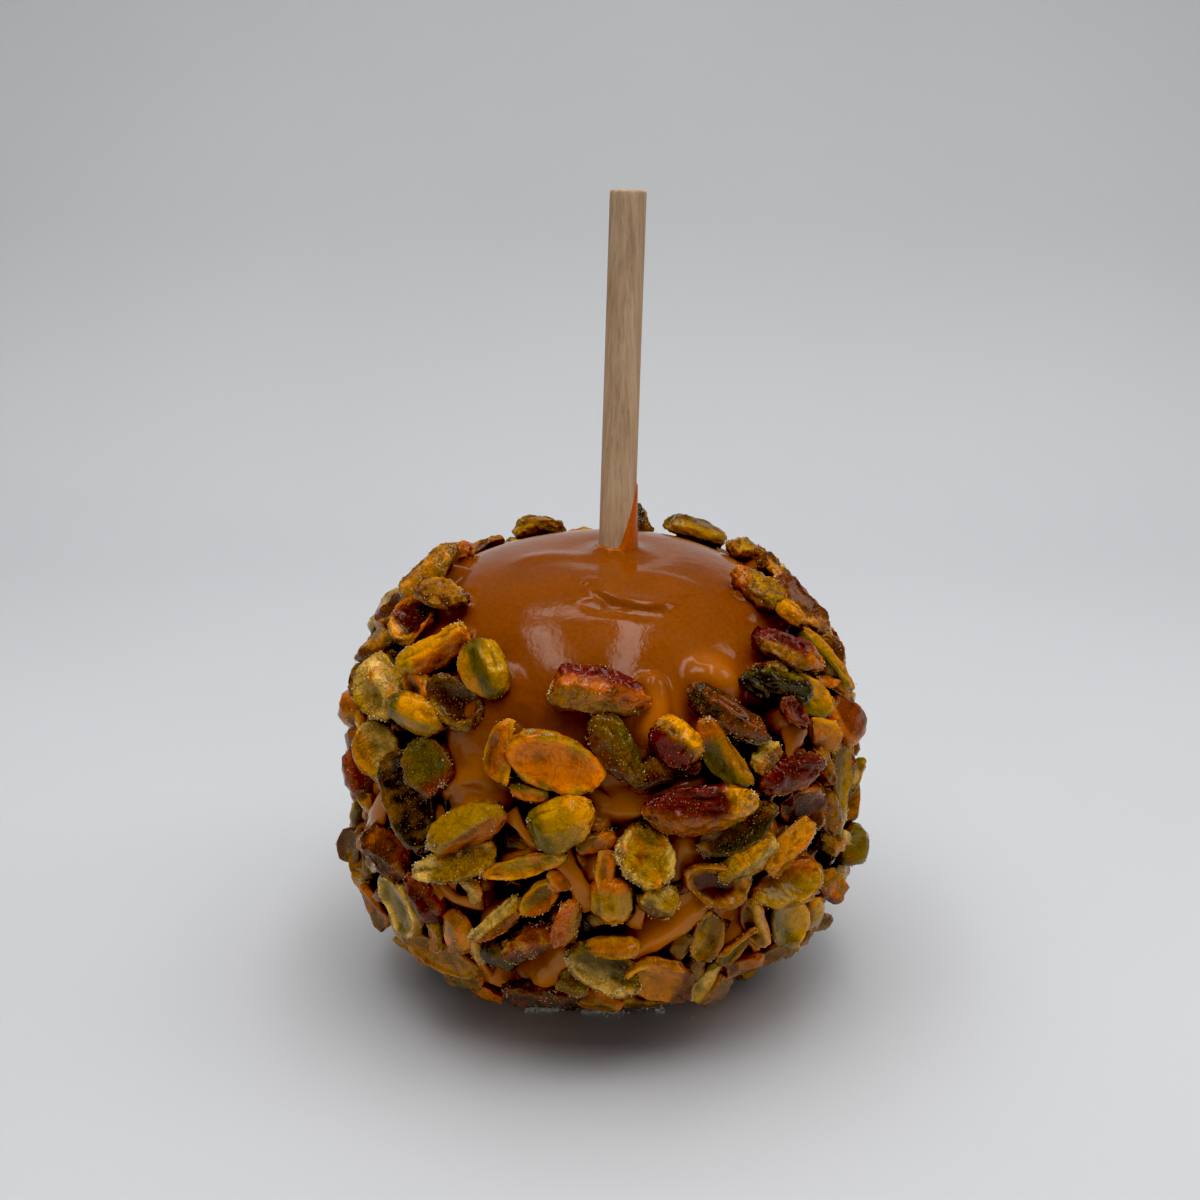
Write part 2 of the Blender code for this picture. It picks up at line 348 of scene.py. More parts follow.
def kernel_material(name, rough, grain, wrinkle, crystal, blotch, sss=0.08, shine=0.4, crease=0.5):
    """The colour of each kernel is in its tint, painted shade included; the nodes add skin, pores and grains."""
    m = Nodes(name)
    v = m.coords()
    at = m.node("ShaderNodeAttribute", attribute_name="tint")
    tint = at.outputs["Color"]
    blot = m.ramp(m.noise(v, 330, 3, 0.5), [(0.28, 1 - blotch), (0.5, 1.0), (0.74, 1 + 0.6 * blotch)])
    col = m.mix(1.0, tint, blot, "MULTIPLY")
    fine = m.ramp(m.noise(v, 2500, 3, 0.65), [(0.32, 1 - 1.2 * blotch), (0.5, 1.0), (0.68, 1 + 0.9 * blotch)])
    col = m.mix(1.0, col, fine, "MULTIPLY")
    vein = m.ramp(m.noise(v, 300, 3, 0.5, 0.9), [(0.455, 1.0), (0.50, 1 - 0.75 * crease), (0.545, 1.0)])
    col = m.mix(1.0, col, vein, "MULTIPLY")
    cell = m.voronoi(v, 1900)
    dots = m.ramp(cell, [(0.0, 1.0), (0.14, 1.0), (0.28, 0.0)])
    where = m.ramp(m.noise(v, 260, 3, 0.6), [(0.42, 0.0), (0.62, 1.0)])
    some = m.math("MULTIPLY", dots, where)
    some = m.math("MULTIPLY", some, crystal)
    col = m.mix(some, col, lin(226, 196, 140))
    n = m.bump(m.noise(v, 560, 4, 0.6, 0.3), wrinkle, 0.0007)
    n = m.bump(m.noise(v, 2500, 3, 0.65), grain, 0.00026, n)
    n = m.bump(vein, 0.5 * crease, 0.0004, n)
    n = m.bump(some, 0.8, 0.00022, n)
    ro = m.ramp(m.noise(v, 420, 3), [(0.3, rough - 0.08), (0.7, rough + 0.12)])
    m.set(Base_Color=col, Roughness=ro, Normal=n, IOR=1.47, Specular_IOR_Level=shine)
    m.set(Subsurface_Weight=sss, Subsurface_Radius=(1.0, 0.75, 0.25), Subsurface_Scale=0.0012)
    m.set(Specular_Tint=lin(255, 222, 156), Coat_Weight=0.75, Coat_Roughness=0.12, Coat_Tint=lin(255, 240, 214))
    return m.mat


def birch_material():
    m = Nodes("birch_dowel")
    long = m.coords(1.0, (1, 1, 0.035))
    grain = m.noise(long, 2600, 4, 0.6)
    band = m.noise(m.coords(1.0, (1, 1, 0.014)), 900, 3, 0.55, 0.1)
    base = m.ramp(band, [(0.30, lin(190, 158, 124)), (0.52, lin(206, 175, 142)), (0.72, lin(214, 187, 156))])
    lines = m.ramp(grain, [(0.30, 0.76), (0.50, 1.0), (0.75, 1.07)])
    base = m.mix(1.0, base, lines, "MULTIPLY")
    fleck = m.noise(m.coords(1.0, (1, 1, 0.12)), 3800, 2, 0.5)
    dark = m.ramp(fleck, [(0.66, 0.0), (0.74, 1.0)])
    base = m.mix(m.math("MULTIPLY", dark, 0.45), base, lin(112, 84, 56))
    sep = m.node("ShaderNodeSeparateXYZ")
    m.link(m.coords(), sep.inputs[0])
    # painted shade: the stick is made darker towards its top, above about 90 mm
    painted_shade_top = m.ramp(m.math("MULTIPLY", sep.outputs[2], 7.0), [(0.62, 1.0), (0.95, 0.80)])
    base = m.mix(1.0, base, painted_shade_top, "MULTIPLY")
    n = m.bump(grain, 0.35, 0.0002)
    n = m.bump(fleck, 0.15, 0.0001, n)
    m.set(Base_Color=base, Roughness=m.ramp(band, [(0.3, 0.62), (0.7, 0.74)]), Normal=n, IOR=1.45)
    m.set(Specular_IOR_Level=0.35)
    return m.mat


def grain_material():
    m = Nodes("salt_and_sugar")
    v = m.coords()
    at = m.node("ShaderNodeAttribute", attribute_name="tint")
    base = m.mix(1.0, at.outputs["Color"], m.ramp(m.noise(v, 700, 2), [(0.35, 0.8), (0.65, 1.1)]), "MULTIPLY")
    n = m.bump(m.noise(v, 5000, 2), 0.3, 0.0001)
    m.set(Base_Color=base, Roughness=0.22, Normal=n, IOR=1.5)
    m.set(Subsurface_Weight=0.4, Subsurface_Radius=(1, 1, 1), Subsurface_Scale=0.0006)
    return m.mat


CARAMEL_LIGHT, CARAMEL_DARK = lin(150, 83, 26), lin(130, 68, 18)
MAT = {
    "caramel": caramel_material("caramel", CARAMEL_LIGHT, CARAMEL_DARK, 0.118),
    "film": caramel_material("caramel_thin", lin(206, 112, 36), lin(184, 92, 24), 0.30, 0.5),
    "smooth": kernel_material("kernel_flesh_smooth", 0.24, 0.34, 0.70, 0.22, 0.16, 0.08, 0.50, 0.40),
    "rough": kernel_material("kernel_rough_salted", 0.32, 0.75, 0.90, 1.0, 0.30, 0.05, 0.45, 0.55),
    "skin": kernel_material("kernel_skin", 0.27, 0.60, 1.0, 0.6, 0.28, 0.03, 0.50, 0.65),
    "dark": kernel_material("kernel_dark", 0.26, 0.60, 1.0, 0.7, 0.34, 0.02, 0.60, 0.6),
    "birch": birch_material(),
    "grains": grain_material(),
}

# =====================================================================
# Colours of the kernels
# =====================================================================
PAL = {
    "dkgreen": lin(62, 58, 6), "green": lin(118, 104, 5), "olive": lin(128, 92, 8),
    "yelgreen": lin(186, 146, 4), "yellow": lin(218, 156, 8), "mustard": lin(196, 128, 12),
    "orange": lin(210, 125, 8), "amber": lin(178, 106, 14), "tan": lin(204, 142, 50), "cream": lin(222, 190, 130),
    "salmon": lin(190, 106, 42), "pink": lin(164, 84, 52), "purple": lin(110, 32, 38),
    "maroon": lin(114, 18, 26), "rust": lin(146, 70, 20), "brown": lin(110, 60, 20),
    "dark": lin(54, 34, 12), "black": lin(26, 17, 6), "olivetan": lin(166, 116, 28),
}

# Kernels that show in the picture. Each line: name, centre x and y, length and width
# across the picture, slope of the long axis (clockwise positive), shape, three
# colours with the place of the second and third, material, how high it sits (mm),
# how far it is turned up on edge (degrees), grains of salt.
# Shapes: D dome up, F flat face up, W whole, S slab or finger, C hollow up,
# K broken chunk, E curled.
SHOWN = """
T1 428 575 78 25 -50 S olivetan olive:rim tan:mottle rough 3.2 0 14
T2 474 563 36 22 -10 D salmon tan:mottle rust:tip2 skin 0.6 0 2
T3 442 591 60 34 15 K olivetan yellow:rim brown:mottle rough 2.6 0 36
T4 415 619 54 38 -50 C purple orange:rim yellow:tip2 skin 1.4 0 14
T5 382 643 44 36 -20 K olivetan olive:mottle brown:rim rough 1.8 0 10
T6 437 650 84 28 -30 S orange yellow:up yelgreen:tip2 smooth 2.2 10 12
T7 485 669 60 44 62 D green yelgreen:up yellow:foot smooth 1.8 0 8
T8 386 690 62 44 48 E cream tan:mottle yelgreen:rim rough 2.6 0 70
T8b 415 714 58 36 28 D yelgreen yellow:up green:tip2 smooth 3.0 0 10
T9 421 684 45 26 60 E orange amber:mottle yellow:rim smooth 1.8 0 4
T10 455 701 60 42 38 C brown yelgreen:rim olive:up rough 1.6 0 18
T11 367 676 52 22 -52 F olive yelgreen:up olivetan:mottle rough 2.2 0 6
T12 379 750 54 38 62 F cream tan:dn yelgreen:tip1 rough 2.4 0 18
T13 429 767 58 46 60 F green olive:rim rust:tip1 rough 2.0 0 26
T14 501 753 66 26 98 E amber orange:mottle yellow:rim smooth 2.6 0 10
T15 596 692 104 47 11 D salmon maroon:crest olivetan:dn skin 2.0 0 40
T16 617 750 82 38 58 D olive green:crest brown:foot rough 1.9 0 16
T17 557 764 100 54 20 F orange yelgreen:rim orange:mottle smooth 2.1 0 10
T18 675 742 52 44 46 W olivetan yellow:up maroon:dn rough 1.8 0 22
T19 728 714 92 34 32 D brown rust:ridge dark:mottle dark 2.0 0 44
T20 776 686 70 32 13 D dkgreen green:crest black:mottle dark 2.4 0 10
T21 806 692 62 27 42 F yelgreen green:dn yellow:up smooth 2.2 0 6
T22 787 650 76 34 24 D purple orange:tip1 olivetan:foot skin 2.4 0 20
T24 757 588 56 32 28 K olivetan yelgreen:mottle orange:tip2 rough 1.8 0 26
T25 799 607 70 30 42 D brown purple:up tan:rim skin 2.6 0 14
T26 790 612 32 15 44 S yellow mustard:mottle tan:rim smooth 3.4 0 4
T23 770 668 34 16 12 K tan purple:mottle cream:rim rough 1.4 0 8
T27 825 661 84 17 48 S green yelgreen:up tan:rim smooth 2.8 30 6
T28 836 656 40 15 55 K brown olivetan:mottle amber:rim rough 2.6 0 6
T30 795 712 34 26 40 F maroon purple:mottle pink:rim skin 4.4 0 2
T31 722 754 82 29 58 E green olivetan:up amber:tip2 smooth 2.8 0 18
T32 766 758 40 30 -40 K olivetan amber:mottle cream:rim rough 1.6 0 20
T33 790 771 66 38 -18 D purple maroon:ridge pink:rim skin 2.6 0 40
T34 829 683 30 16 5 K orange amber:mottle tan:rim smooth 2.4 0 4
T35 843 714 56 34 64 K rust brown:mottle orange:rim smooth 2.6 0 4
T36 822 734 42 28 36 K mustard orange:mottle yellow:rim smooth 2.2 0 8
T37 838 782 78 26 94 C olive green:rim yelgreen:up smooth 2.2 0 6
T38 855 776 34 12 -62 S yelgreen olive:mottle green:rim smooth 3.2 0 2
F1 538 531 44 22 8 K olivetan olive:mottle yelgreen:rim rough 3.0 0 12
F2 646 523 36 20 84 K brown olive:mottle dark:dn rough 3.0 0 10
F3 683 540 64 26 21 D olive green:up yelgreen:rim smooth 2.6 0 12
F4 721 561 36 22 24 K olive yelgreen:mottle tan:rim rough 2.0 0 10
F5 746 571 22 18 20 K brown tan:mottle olive:rim rough 2.0 0 8
M1 362 774 56 26 78 D maroon pink:ridge brown:rim skin 1.8 0 20
M2 367 797 30 18 62 K yellow olive:mottle tan:rim smooth 1.8 0 4
M3 411 802 98 44 74 C black dkgreen:rim olive:mottle dark 2.0 0 26
M4 468 827 84 40 -26 D yelgreen mustard:dn orange:dn smooth 2.6 0 26
M5 389 850 64 32 60 K brown amber:mottle rust:up rough 2.2 0 26
M6 459 862 94 32 -15 F yelgreen yellow:up cream:tip2 rough 2.6 0 64
M7 531 790 46 20 16 S green yelgreen:mottle orange:foot smooth 1.0 0 8
M8 562 822 64 56 -30 D yelgreen yellow:tip1 green:tip2 smooth 2.8 0 14
M9 596 842 46 26 -32 K amber olive:up orange:mottle smooth 1.8 0 8
M10 646 857 64 52 58 F yelgreen mustard:mottle cream:rim rough 2.2 0 60
M11 656 899 42 34 18 D yelgreen olive:dn cream:mottle rough 2.0 0 34
M12 701 809 114 50 -6 D amber purple:up yellow:tip1 skin 2.8 0 34
M13 738 828 84 34 -28 F olive brown:mottle dkgreen:dn rough 1.8 0 18
M14 802 808 50 42 40 F brown orange:rim purple:mottle rough 2.2 0 40
M15 789 846 66 28 -50 S tan orange:mottle tan:rim smooth 2.8 0 22
M16 747 858 64 30 -38 D cream yellow:up yelgreen:tip2 rough 2.8 0 30
M17 835 842 32 28 0 K tan amber:mottle cream:rim rough 2.0 0 10
M18 851 845 40 32 100 D green olive:mottle yelgreen:up smooth 2.2 0 4
M19 524 866 82 20 -13 F yelgreen yellow:dn mustard:mottle smooth 2.4 0 8
M20 716 883 66 40 17 C tan tan:rim purple:patch smooth 2.2 0 14
M21 350 846 40 17 96 F olive yelgreen:mottle brown:dn smooth 2.4 0 2
M22 362 855 50 26 84 C olivetan yelgreen:mottle green:up smooth 2.2 0 8
M23 365 879 26 24 10 K yelgreen mustard:mottle olive:rim smooth 2.0 0 4
M24 473 887 30 18 58 K cream yelgreen:mottle tan:rim rough 1.6 0 14
L1 401 904 66 34 62 F green yelgreen:up cream:rim smooth 2.4 0 16
L2 426 898 54 28 56 D purple brown:mottle pink:rim skin 1.8 0 20
L3 436 934 38 22 88 K tan mustard:mottle cream:rim rough 1.6 0 14
L4 459 932 44 30 80 D olivetan orange:mottle tan:rim smooth 1.8 0 8
L5 497 921 64 21 -38 E yelgreen cream:up orange:dn rough 2.6 0 16
L6 538 899 46 26 -42 C yelgreen yellow:mottle orange:dn smooth 2.2 0 10
L7 566 924 56 28 98 K salmon pink:mottle olivetan:up rough 2.2 0 16
L8 612 900 50 42 86 D yelgreen yellow:tip1 orange:tip2 smooth 2.6 0 12
L8b 607 872 54 22 94 S orange amber:mottle tan:rim smooth 2.2 0 6
L9 529 942 54 34 -22 K pink tan:mottle brown:dn rough 2.2 0 54
L10 500 951 42 32 30 D dkgreen olive:mottle black:dn smooth 1.4 0 8
L11 613 947 50 20 3 S mustard mustard:mottle yellow:rim smooth 2.4 0 2
L12 604 968 76 40 31 F green olive:mottle cream:dn rough 2.6 0 58
L13 572 980 32 30 30 K olive green:mottle tan:rim rough 1.6 0 8
L14 661 980 70 42 14 F mustard yellow:tip2 brown:tip1 smooth 2.6 0 10
L15 442 955 80 24 24 F olivetan olive:mottle olivetan:rim smooth 2.2 0 6
L16 466 977 42 17 18 K olive green:mottle mustard:rim rough 2.0 0 4
L17 543 993 74 21 4 D black purple:mottle brown:rim dark 1.4 0 24
L18 600 999 46 15 7 S olivetan tan:mottle orange:rim smooth 0.8 0 6
L19 566 999 30 14 4 D dkgreen olive:mottle black:rim smooth 0.8 0 6
L20 708 936 54 28 -72 F olive yelgreen:up olivetan:rim smooth 2.0 0 8
L21 681 946 36 20 -58 D olive dkgreen:mottle brown:dn smooth 0.8 0 4
L22 738 946 52 18 -42 C green yelgreen:up tan:rim smooth 2.6 20 4
L23 755 919 56 22 74 E olive yelgreen:up tan:rim smooth 2.0 0 6
L24 787 918 52 44 62 F yelgreen yellow:rim green:dn smooth 2.4 0 6
L25 787 884 74 38 -22 F yelgreen yelgreen:tip1 orange:up smooth 2.4 0 12
L26 812 920 40 24 -4 K olivetan olive:mottle mustard:rim rough 2.0 0 8
L27 827 881 44 32 30 K olivetan orange:mottle rust:rim rough 2.0 0 10
L28 742 962 40 20 -16 K amber brown:mottle orange:rim smooth 1.6 0 4
L29 705 983 50 16 -56 S yelgreen cream:up olive:dn smooth 2.6 0 4
L30 710 988 46 30 -32 K olive amber:mottle mustard:rim rough 2.0 0 6
L32 489 990 32 18 12 K amber tan:mottle orange:rim smooth 1.8 0 4
L33 377 908 52 20 62 F olive amber:mottle orange:up smooth 2.0 0 6
L34 640 998 58 14 4 D olive yelgreen:mottle mustard:rim smooth 0.6 0 8
L35 418 948 46 18 48 E amber mustard:mottle orange:rim smooth 1.6 0 4
L36 560 880 26 24 60 K orange amber:mottle tan:rim smooth 1.6 0 2
L38 826 806 56 24 70 D olivetan brown:mottle amber:rim rough 1.8 0 12
L39 822 760 44 24 60 K tan brown:mottle amber:rim rough 1.8 0 14
L40 480 945 34 16 70 S yelgreen mustard:mottle cream:rim rough 1.6 0 8
"""

# The kernels that stand by themselves in the CAD, and the line above that finishes each.
NODE_OF = {
    "T15": "kernel_front", "T17": "kernel_front_low", "T16": "kernel_front_side",
    "T18": "kernel_front_round", "T7": "kernel_left_green", "T10": "kernel_left_cup",
    "T6": "kernel_left_slab", "T4": "kernel_left_dark", "T3": "kernel_left_tan",
    "T1": "kernel_left_tall", "T2": "kernel_left_small", "F1": "kernel_back_spiky",
    "F2": "kernel_back_dark", "F3": "kernel_back_green", "F4": "kernel_back_right",
    "T24": "kernel_right_rough", "T25": "kernel_right_purple", "T22": "kernel_right_streaked",
    "T20": "kernel_right_green", "T19": "kernel_right_brown",
}
# Kernels that the CAD has on the far side, placed by angle round and down from the top.
FAR_NODES = [
    ("kernel_back_left", -133.0, 41.5, 25, 13.0, 6.4, "D", "tan", "olivetan:rim", "brown:mottle", "rough"),
    ("kernel_back", -177.0, 43.5, -35, 12.5, 6.6, "D", "mustard", "yelgreen:up", "orange:mottle", "smooth"),
    ("kernel_right_back", 104.0, 44.0, -40, 12.0, 6.0, "D", "olive", "green:mottle", "tan:rim", "rough"),
]
# Far-side kernels whose place a pixel can't give, because they show past the top.
FAR_PLACE = {"F1": (-158, 40), "F2": (166, 39.5), "F3": (147.5, 40), "F4": (122.5, 39), "F5": (112, 41), "T2": (-112, 35.5)}

# Places where the smooth caramel shows, so that no loose kernel lies there:
# centre x, y and half sizes in the picture.
CLEAR = [
    (600, 590, 150, 62), (560, 650, 70, 40), (660, 650, 60, 60), (720, 640, 50, 36),
    (488, 715, 34, 30), (470, 745, 40, 48), (475, 790, 34, 22), (655, 715, 22, 34),
    (625, 800, 38, 26), (690, 860, 34, 22), (378, 812, 12, 22), (660, 930, 30, 14),
    (535, 975, 32, 16), (576, 880, 16, 24), (735, 922, 18, 14), (465, 905, 26, 12),
    (385, 868, 14, 12),
]


class Kernel:
    def __init__(self, name, C, A, N, L, W, H, form, cols, mat, seed, salt=8, res=(36, 30)):
        self.name, self.C, self.L, self.W, self.H = name, np.asarray(C, float), L, W, H
        self.A = unit(A)
        N = unit(np.asarray(N, float) - np.dot(N, self.A) * self.A)
        self.N, self.B = N, np.cross(N, self.A)
        self.form, self.cols, self.mat = form, cols, mat
        self.seed, self.salt, self.res = seed, salt, res
        self.gap = body_gap(self.C)
        self.low = False


def turn_about(v, axis, angle):
    c, s = math.cos(angle), math.sin(angle)
    return v * c + np.cross(axis, v) * s + axis * np.dot(axis, v) * (1 - c)


def thickness_of(form, W, rng):
    if form == "S":
        return max(2.8, min(5.0, W * rng.uniform(0.85, 1.1)))
    if form in "FC":
        return max(3.0, min(5.2, W * rng.uniform(0.52, 0.66)))
    if form == "W":
        return W * rng.uniform(0.8, 0.9)
    return max(3.4, min(6.2, W * rng.uniform(0.70, 0.84)))


def shown_kernels():
    out = []
    for k, line in enumerate(SHOWN.strip().splitlines()):
        name, x, y, L, W, ang, form, a, b, c, mat, lift, edge, salt = line.split()
        x, y, L, W, ang, lift, edge, salt = (float(q) for q in (x, y, L, W, ang, lift, edge, salt))
        rng = np.random.default_rng(500 + k)
        L, W, lift = L * 1.09, W * 1.13, lift + 1.0
        if name in FAR_PLACE:
            C = on_body(*FAR_PLACE[name], lift)
        else:
            C = land(x, y, lift)
        n_out = body_normal(C)
        view = unit(CAM - C)
        face = 0.30
        N = unit((1 - face) * n_out + face * view)
        img = C_RIGHT * math.cos(rad(ang)) - C_UP * math.sin(rad(ang))
        vn = max(0.35, float(view @ N))
        k_out = float(np.clip(-(img @ N) / vn, -0.85, 0.85))
        A = unit(img + k_out * view)
        depth = float((C - CAM) @ C_FWD)
        mm = depth / FOCAL_PX
        Lr = min(L * mm * math.sqrt(1 + k_out * k_out), 19.5)
        N2 = unit(N - (N @ A) * A)
        B = np.cross(N2, A)
        across = max(0.62, math.sqrt(max(0.0, 1 - float(B @ view) ** 2)))
        Wr = min(W * mm / across, 9.6)
        N2 = turn_about(N2, A, rad(edge + rng.uniform(-16, 16) * (1 if name in NODE_OF else 1.7)))
        H = thickness_of(form, Wr, rng)
        out.append(Kernel(name, C, A, N2, Lr, Wr, H, form, (a, b, c), mat, 900 + k, salt,
                          (50, 40) if name in NODE_OF or L > 66 else (36, 28)))
    return out


FILL_LOOKS = [
    (13, "yelgreen", "green:up", "yellow:rim", "smooth"),
    (11, "green", "olive:mottle", "yelgreen:rim", "smooth"),
    (9, "olive", "dkgreen:mottle", "yelgreen:up", "rough"),
    (9, "mustard", "yellow:up", "olive:mottle", "smooth"),
    (5, "amber", "orange:mottle", "tan:rim", "smooth"),
    (7, "tan", "olivetan:mottle", "cream:rim", "rough"),
    (9, "olivetan", "yelgreen:mottle", "brown:dn", "rough"),
    (5, "cream", "tan:mottle", "yelgreen:tip1", "rough"),
    (5, "purple", "maroon:ridge", "pink:rim", "skin"),
    (6, "brown", "purple:mottle", "tan:rim", "skin"),
    (3, "salmon", "olivetan:rim", "maroon:ridge", "skin"),
    (6, "dark", "dkgreen:mottle", "brown:rim", "dark"),
    (5, "dkgreen", "olive:up", "black:mottle", "dark"),
]


def fill_kernels(shown):
    """The rest of the coat: kernels all over the sides that the picture doesn't place."""
    rng = np.random.default_rng(77)
    taken = [(s.C, 0.5 * s.L, 0.5 * s.W, s.A, s.B) for s in shown]
    out = []
    weights = np.array([w[0] for w in FILL_LOOKS], float)
    weights /= weights.sum()
    forms = ["D", "D", "F", "F", "F", "C", "S", "K", "C", "E", "W"]

    def try_at(az, T, lift, room, size, under):
        C = on_body(az, T, lift)
        x, y = pixel(C)
        facing = float(body_normal(C) @ unit(CAM - C))
        in_front = C[1] < -4
        if in_front and y > 962 and abs(x - 600) < 200:
            return
        tight = facing > 0.30
        if facing > 0.05:
            if y > 985 or (y > 958 and abs(x - 600) < 200):
                return
            if tight:
                C, size, under = on_body(az, T, lift - rng.uniform(1.8, 3.2)), size * 0.92, True
            for cx, cy, rx, ry in CLEAR:
                if ((x - cx) / (rx + 8)) ** 2 + ((y - cy) / (ry + 8)) ** 2 < 1:
                    return
        for c, hl, hw, a, b in taken:
            d = C - c
            if np.linalg.norm(d) > 16:
                continue
            if tight:
                u, w = (d @ a) / (hl * 0.66 + 1.2), (d @ b) / (hw * 0.66 + 2.0)
            else:
                u, w = (d @ a) / (hl * room + 2.2), (d @ b) / (hw * room + 3.2)
            if u * u + w * w + (d @ np.cross(a, b) / 7.0) ** 2 < 1:
                return
        n = body_normal(C)
        east = unit(np.cross([0, 0, 1], n))
        roll = rng.uniform(0, math.pi)
        A = east * math.cos(roll) + np.cross(n, east) * math.sin(roll)
        A = unit(A + n * rng.uniform(-0.28, 0.28))
        N = turn_about(unit(n - (n @ A) * A), A, rng.normal(0, 0.8 if tight else 0.5))
        L, W = rng.uniform(9.5, 15.5) * size, rng.uniform(5.2, 8.4) * size
        form = forms[rng.integers(len(forms))]
        if form == "S":
            W *= 0.62
        if form == "K":
            L *= 0.8
        look = FILL_LOOKS[rng.choice(len(FILL_LOOKS), p=weights)]
        H = thickness_of(form, W, rng)
        out.append(Kernel(f"R{len(out)}", C, A, N, L, W, H, form, look[1:4], look[4],
                          3000 + len(out), int(rng.integers(3, 16)), (24, 20) if under else (26, 22)))
        out[-1].low = bool(tight)
        taken.append((C, 0.5 * L, 0.5 * W, A, out[-1].B))

    golden = math.pi * (3 - math.sqrt(5))
    for total, lift, room, size, under in ((900, 2.0, 0.80, 1.0, False), (1500, 1.6, 0.62, 0.86, False)):
        top, bottom = math.cos(rad(40)), math.cos(rad(151))
        for i in range(total):
            h = top + (bottom - top) * (i + 0.5) / total
            T = math.degrees(math.acos(h)) + rng.uniform(-2, 2)
            az = math.degrees(golden * i * 7) % 360 - 180 + rng.uniform(-3, 3)
            front = math.exp(-((az - 2) / 30.0) ** 2)
            if T < 46.5 - 4 * (1 - math.cos(rad(az))) / 2 + 20 * front + rng.uniform(-1, 4):
                continue
            try_at(az, T, lift + rng.uniform(-0.5, 0.9) * sstep(44, 52, T), room, size, under)
    return out


# =====================================================================
# One kernel's mesh
# =====================================================================
def place_mask(word, X, Y, Z, rng, P):
    """Where on a kernel its second or third colour lies."""
    wob = 0.22 * noise3(P / 3.0 + rng.uniform(0, 50, 3))
    if word == "rim":
        return sstep(0.62, 0.86, np.sqrt(X ** 2 * 0.55 + Y ** 2) + wob)
    if word == "ridge":
        return sstep(0.42, 0.12, np.abs(Y - 0.1) + wob) * sstep(1.0, 0.75, np.abs(X))
    if word == "tip1":
        return sstep(0.30, 0.56, X + wob)
    if word == "tip2":
        return sstep(0.30, 0.56, -X + wob)
    if word == "up":
        return sstep(0.02, 0.42, Y + wob)
    if word == "crest":
        return sstep(0.38, 0.62, Y + 0.6 * wob)
    if word == "foot":
        return sstep(0.38, 0.66, -Y + 0.6 * wob)
    if word == "dn":
        return sstep(0.02, 0.42, -Y + wob)
    if word == "patch":
        cx, cy = rng.uniform(-0.1, 0.15), rng.uniform(-0.05, 0.25)
        return sstep(0.80, 0.66, np.sqrt(((X - cx) / 0.8) ** 2 + ((Y - cy) / 0.85) ** 2) + 0.6 * wob)
    return sstep(0.02, 0.30, noise3(P / 2.3 + rng.uniform(0, 50, 3)))


def cut_planes(form, rng):
    """Planes that give a kernel its long facets and its chipped ends: direction and part kept."""
    out = []

    def plane(deg, keep, lean=0.0):
        t = rad(deg + rng.uniform(-9, 9))
        d = np.array([lean + rng.uniform(-0.12, 0.12), math.cos(t), math.sin(t)])
        out.append((unit(d), keep + rng.uniform(-0.05, 0.05)))

    if form in "DW":
        plane(52, 0.72), plane(122, 0.70)
        if rng.random() < 0.5:
            plane(88, 0.80)
        plane(12, 0.86), plane(-168, 0.86)
        plane(-90, 0.34 if form == "D" else 0.7)
    elif form == "F":
        plane(90, 0.30), plane(-55, 0.78), plane(-125, 0.78), plane(-88, 0.8)
    elif form == "C":
        plane(-45, 0.80), plane(-135, 0.80), plane(90, 0.62)
    elif form == "S":
        plane(58, 0.66), plane(128, 0.66), plane(-60, 0.7), plane(-125, 0.7)
    elif form == "E":
        plane(60, 0.72), plane(-70, 0.7), plane(-120, 0.72)
    elif form == "K":
        for _ in range(4):
            plane(rng.uniform(0, 360), 0.60, rng.uniform(-0.7, 0.7))
        plane(90, 0.6), plane(-90, 0.6)
    for side in (1, -1):                      # an end broken across
        if rng.random() < (0.75 if form in "KS" else 0.35):
            d = unit(np.array([side * 1.0, rng.uniform(-0.5, 0.5), rng.uniform(-0.5, 0.5)]))
            out.append((d, rng.uniform(0.72, 0.9)))
    return out


# painted shade: dark holes between the kernels, painted near black on the caramel and the loose kernels: where, and
# how wide (mm)
POCKETS = [(land(x, y, h), r) for x, y, h, r in (
    (702, 774, -1.5, 4.2), (666, 774, -1.5, 3.0), (455, 668, -0.5, 2.2), (438, 724, -1.0, 2.4),
    (508, 842, -1.5, 3.6), (527, 774, -1.0, 2.0), (420, 886, -1.5, 2.6), (600, 812, -2.0, 2.0))]


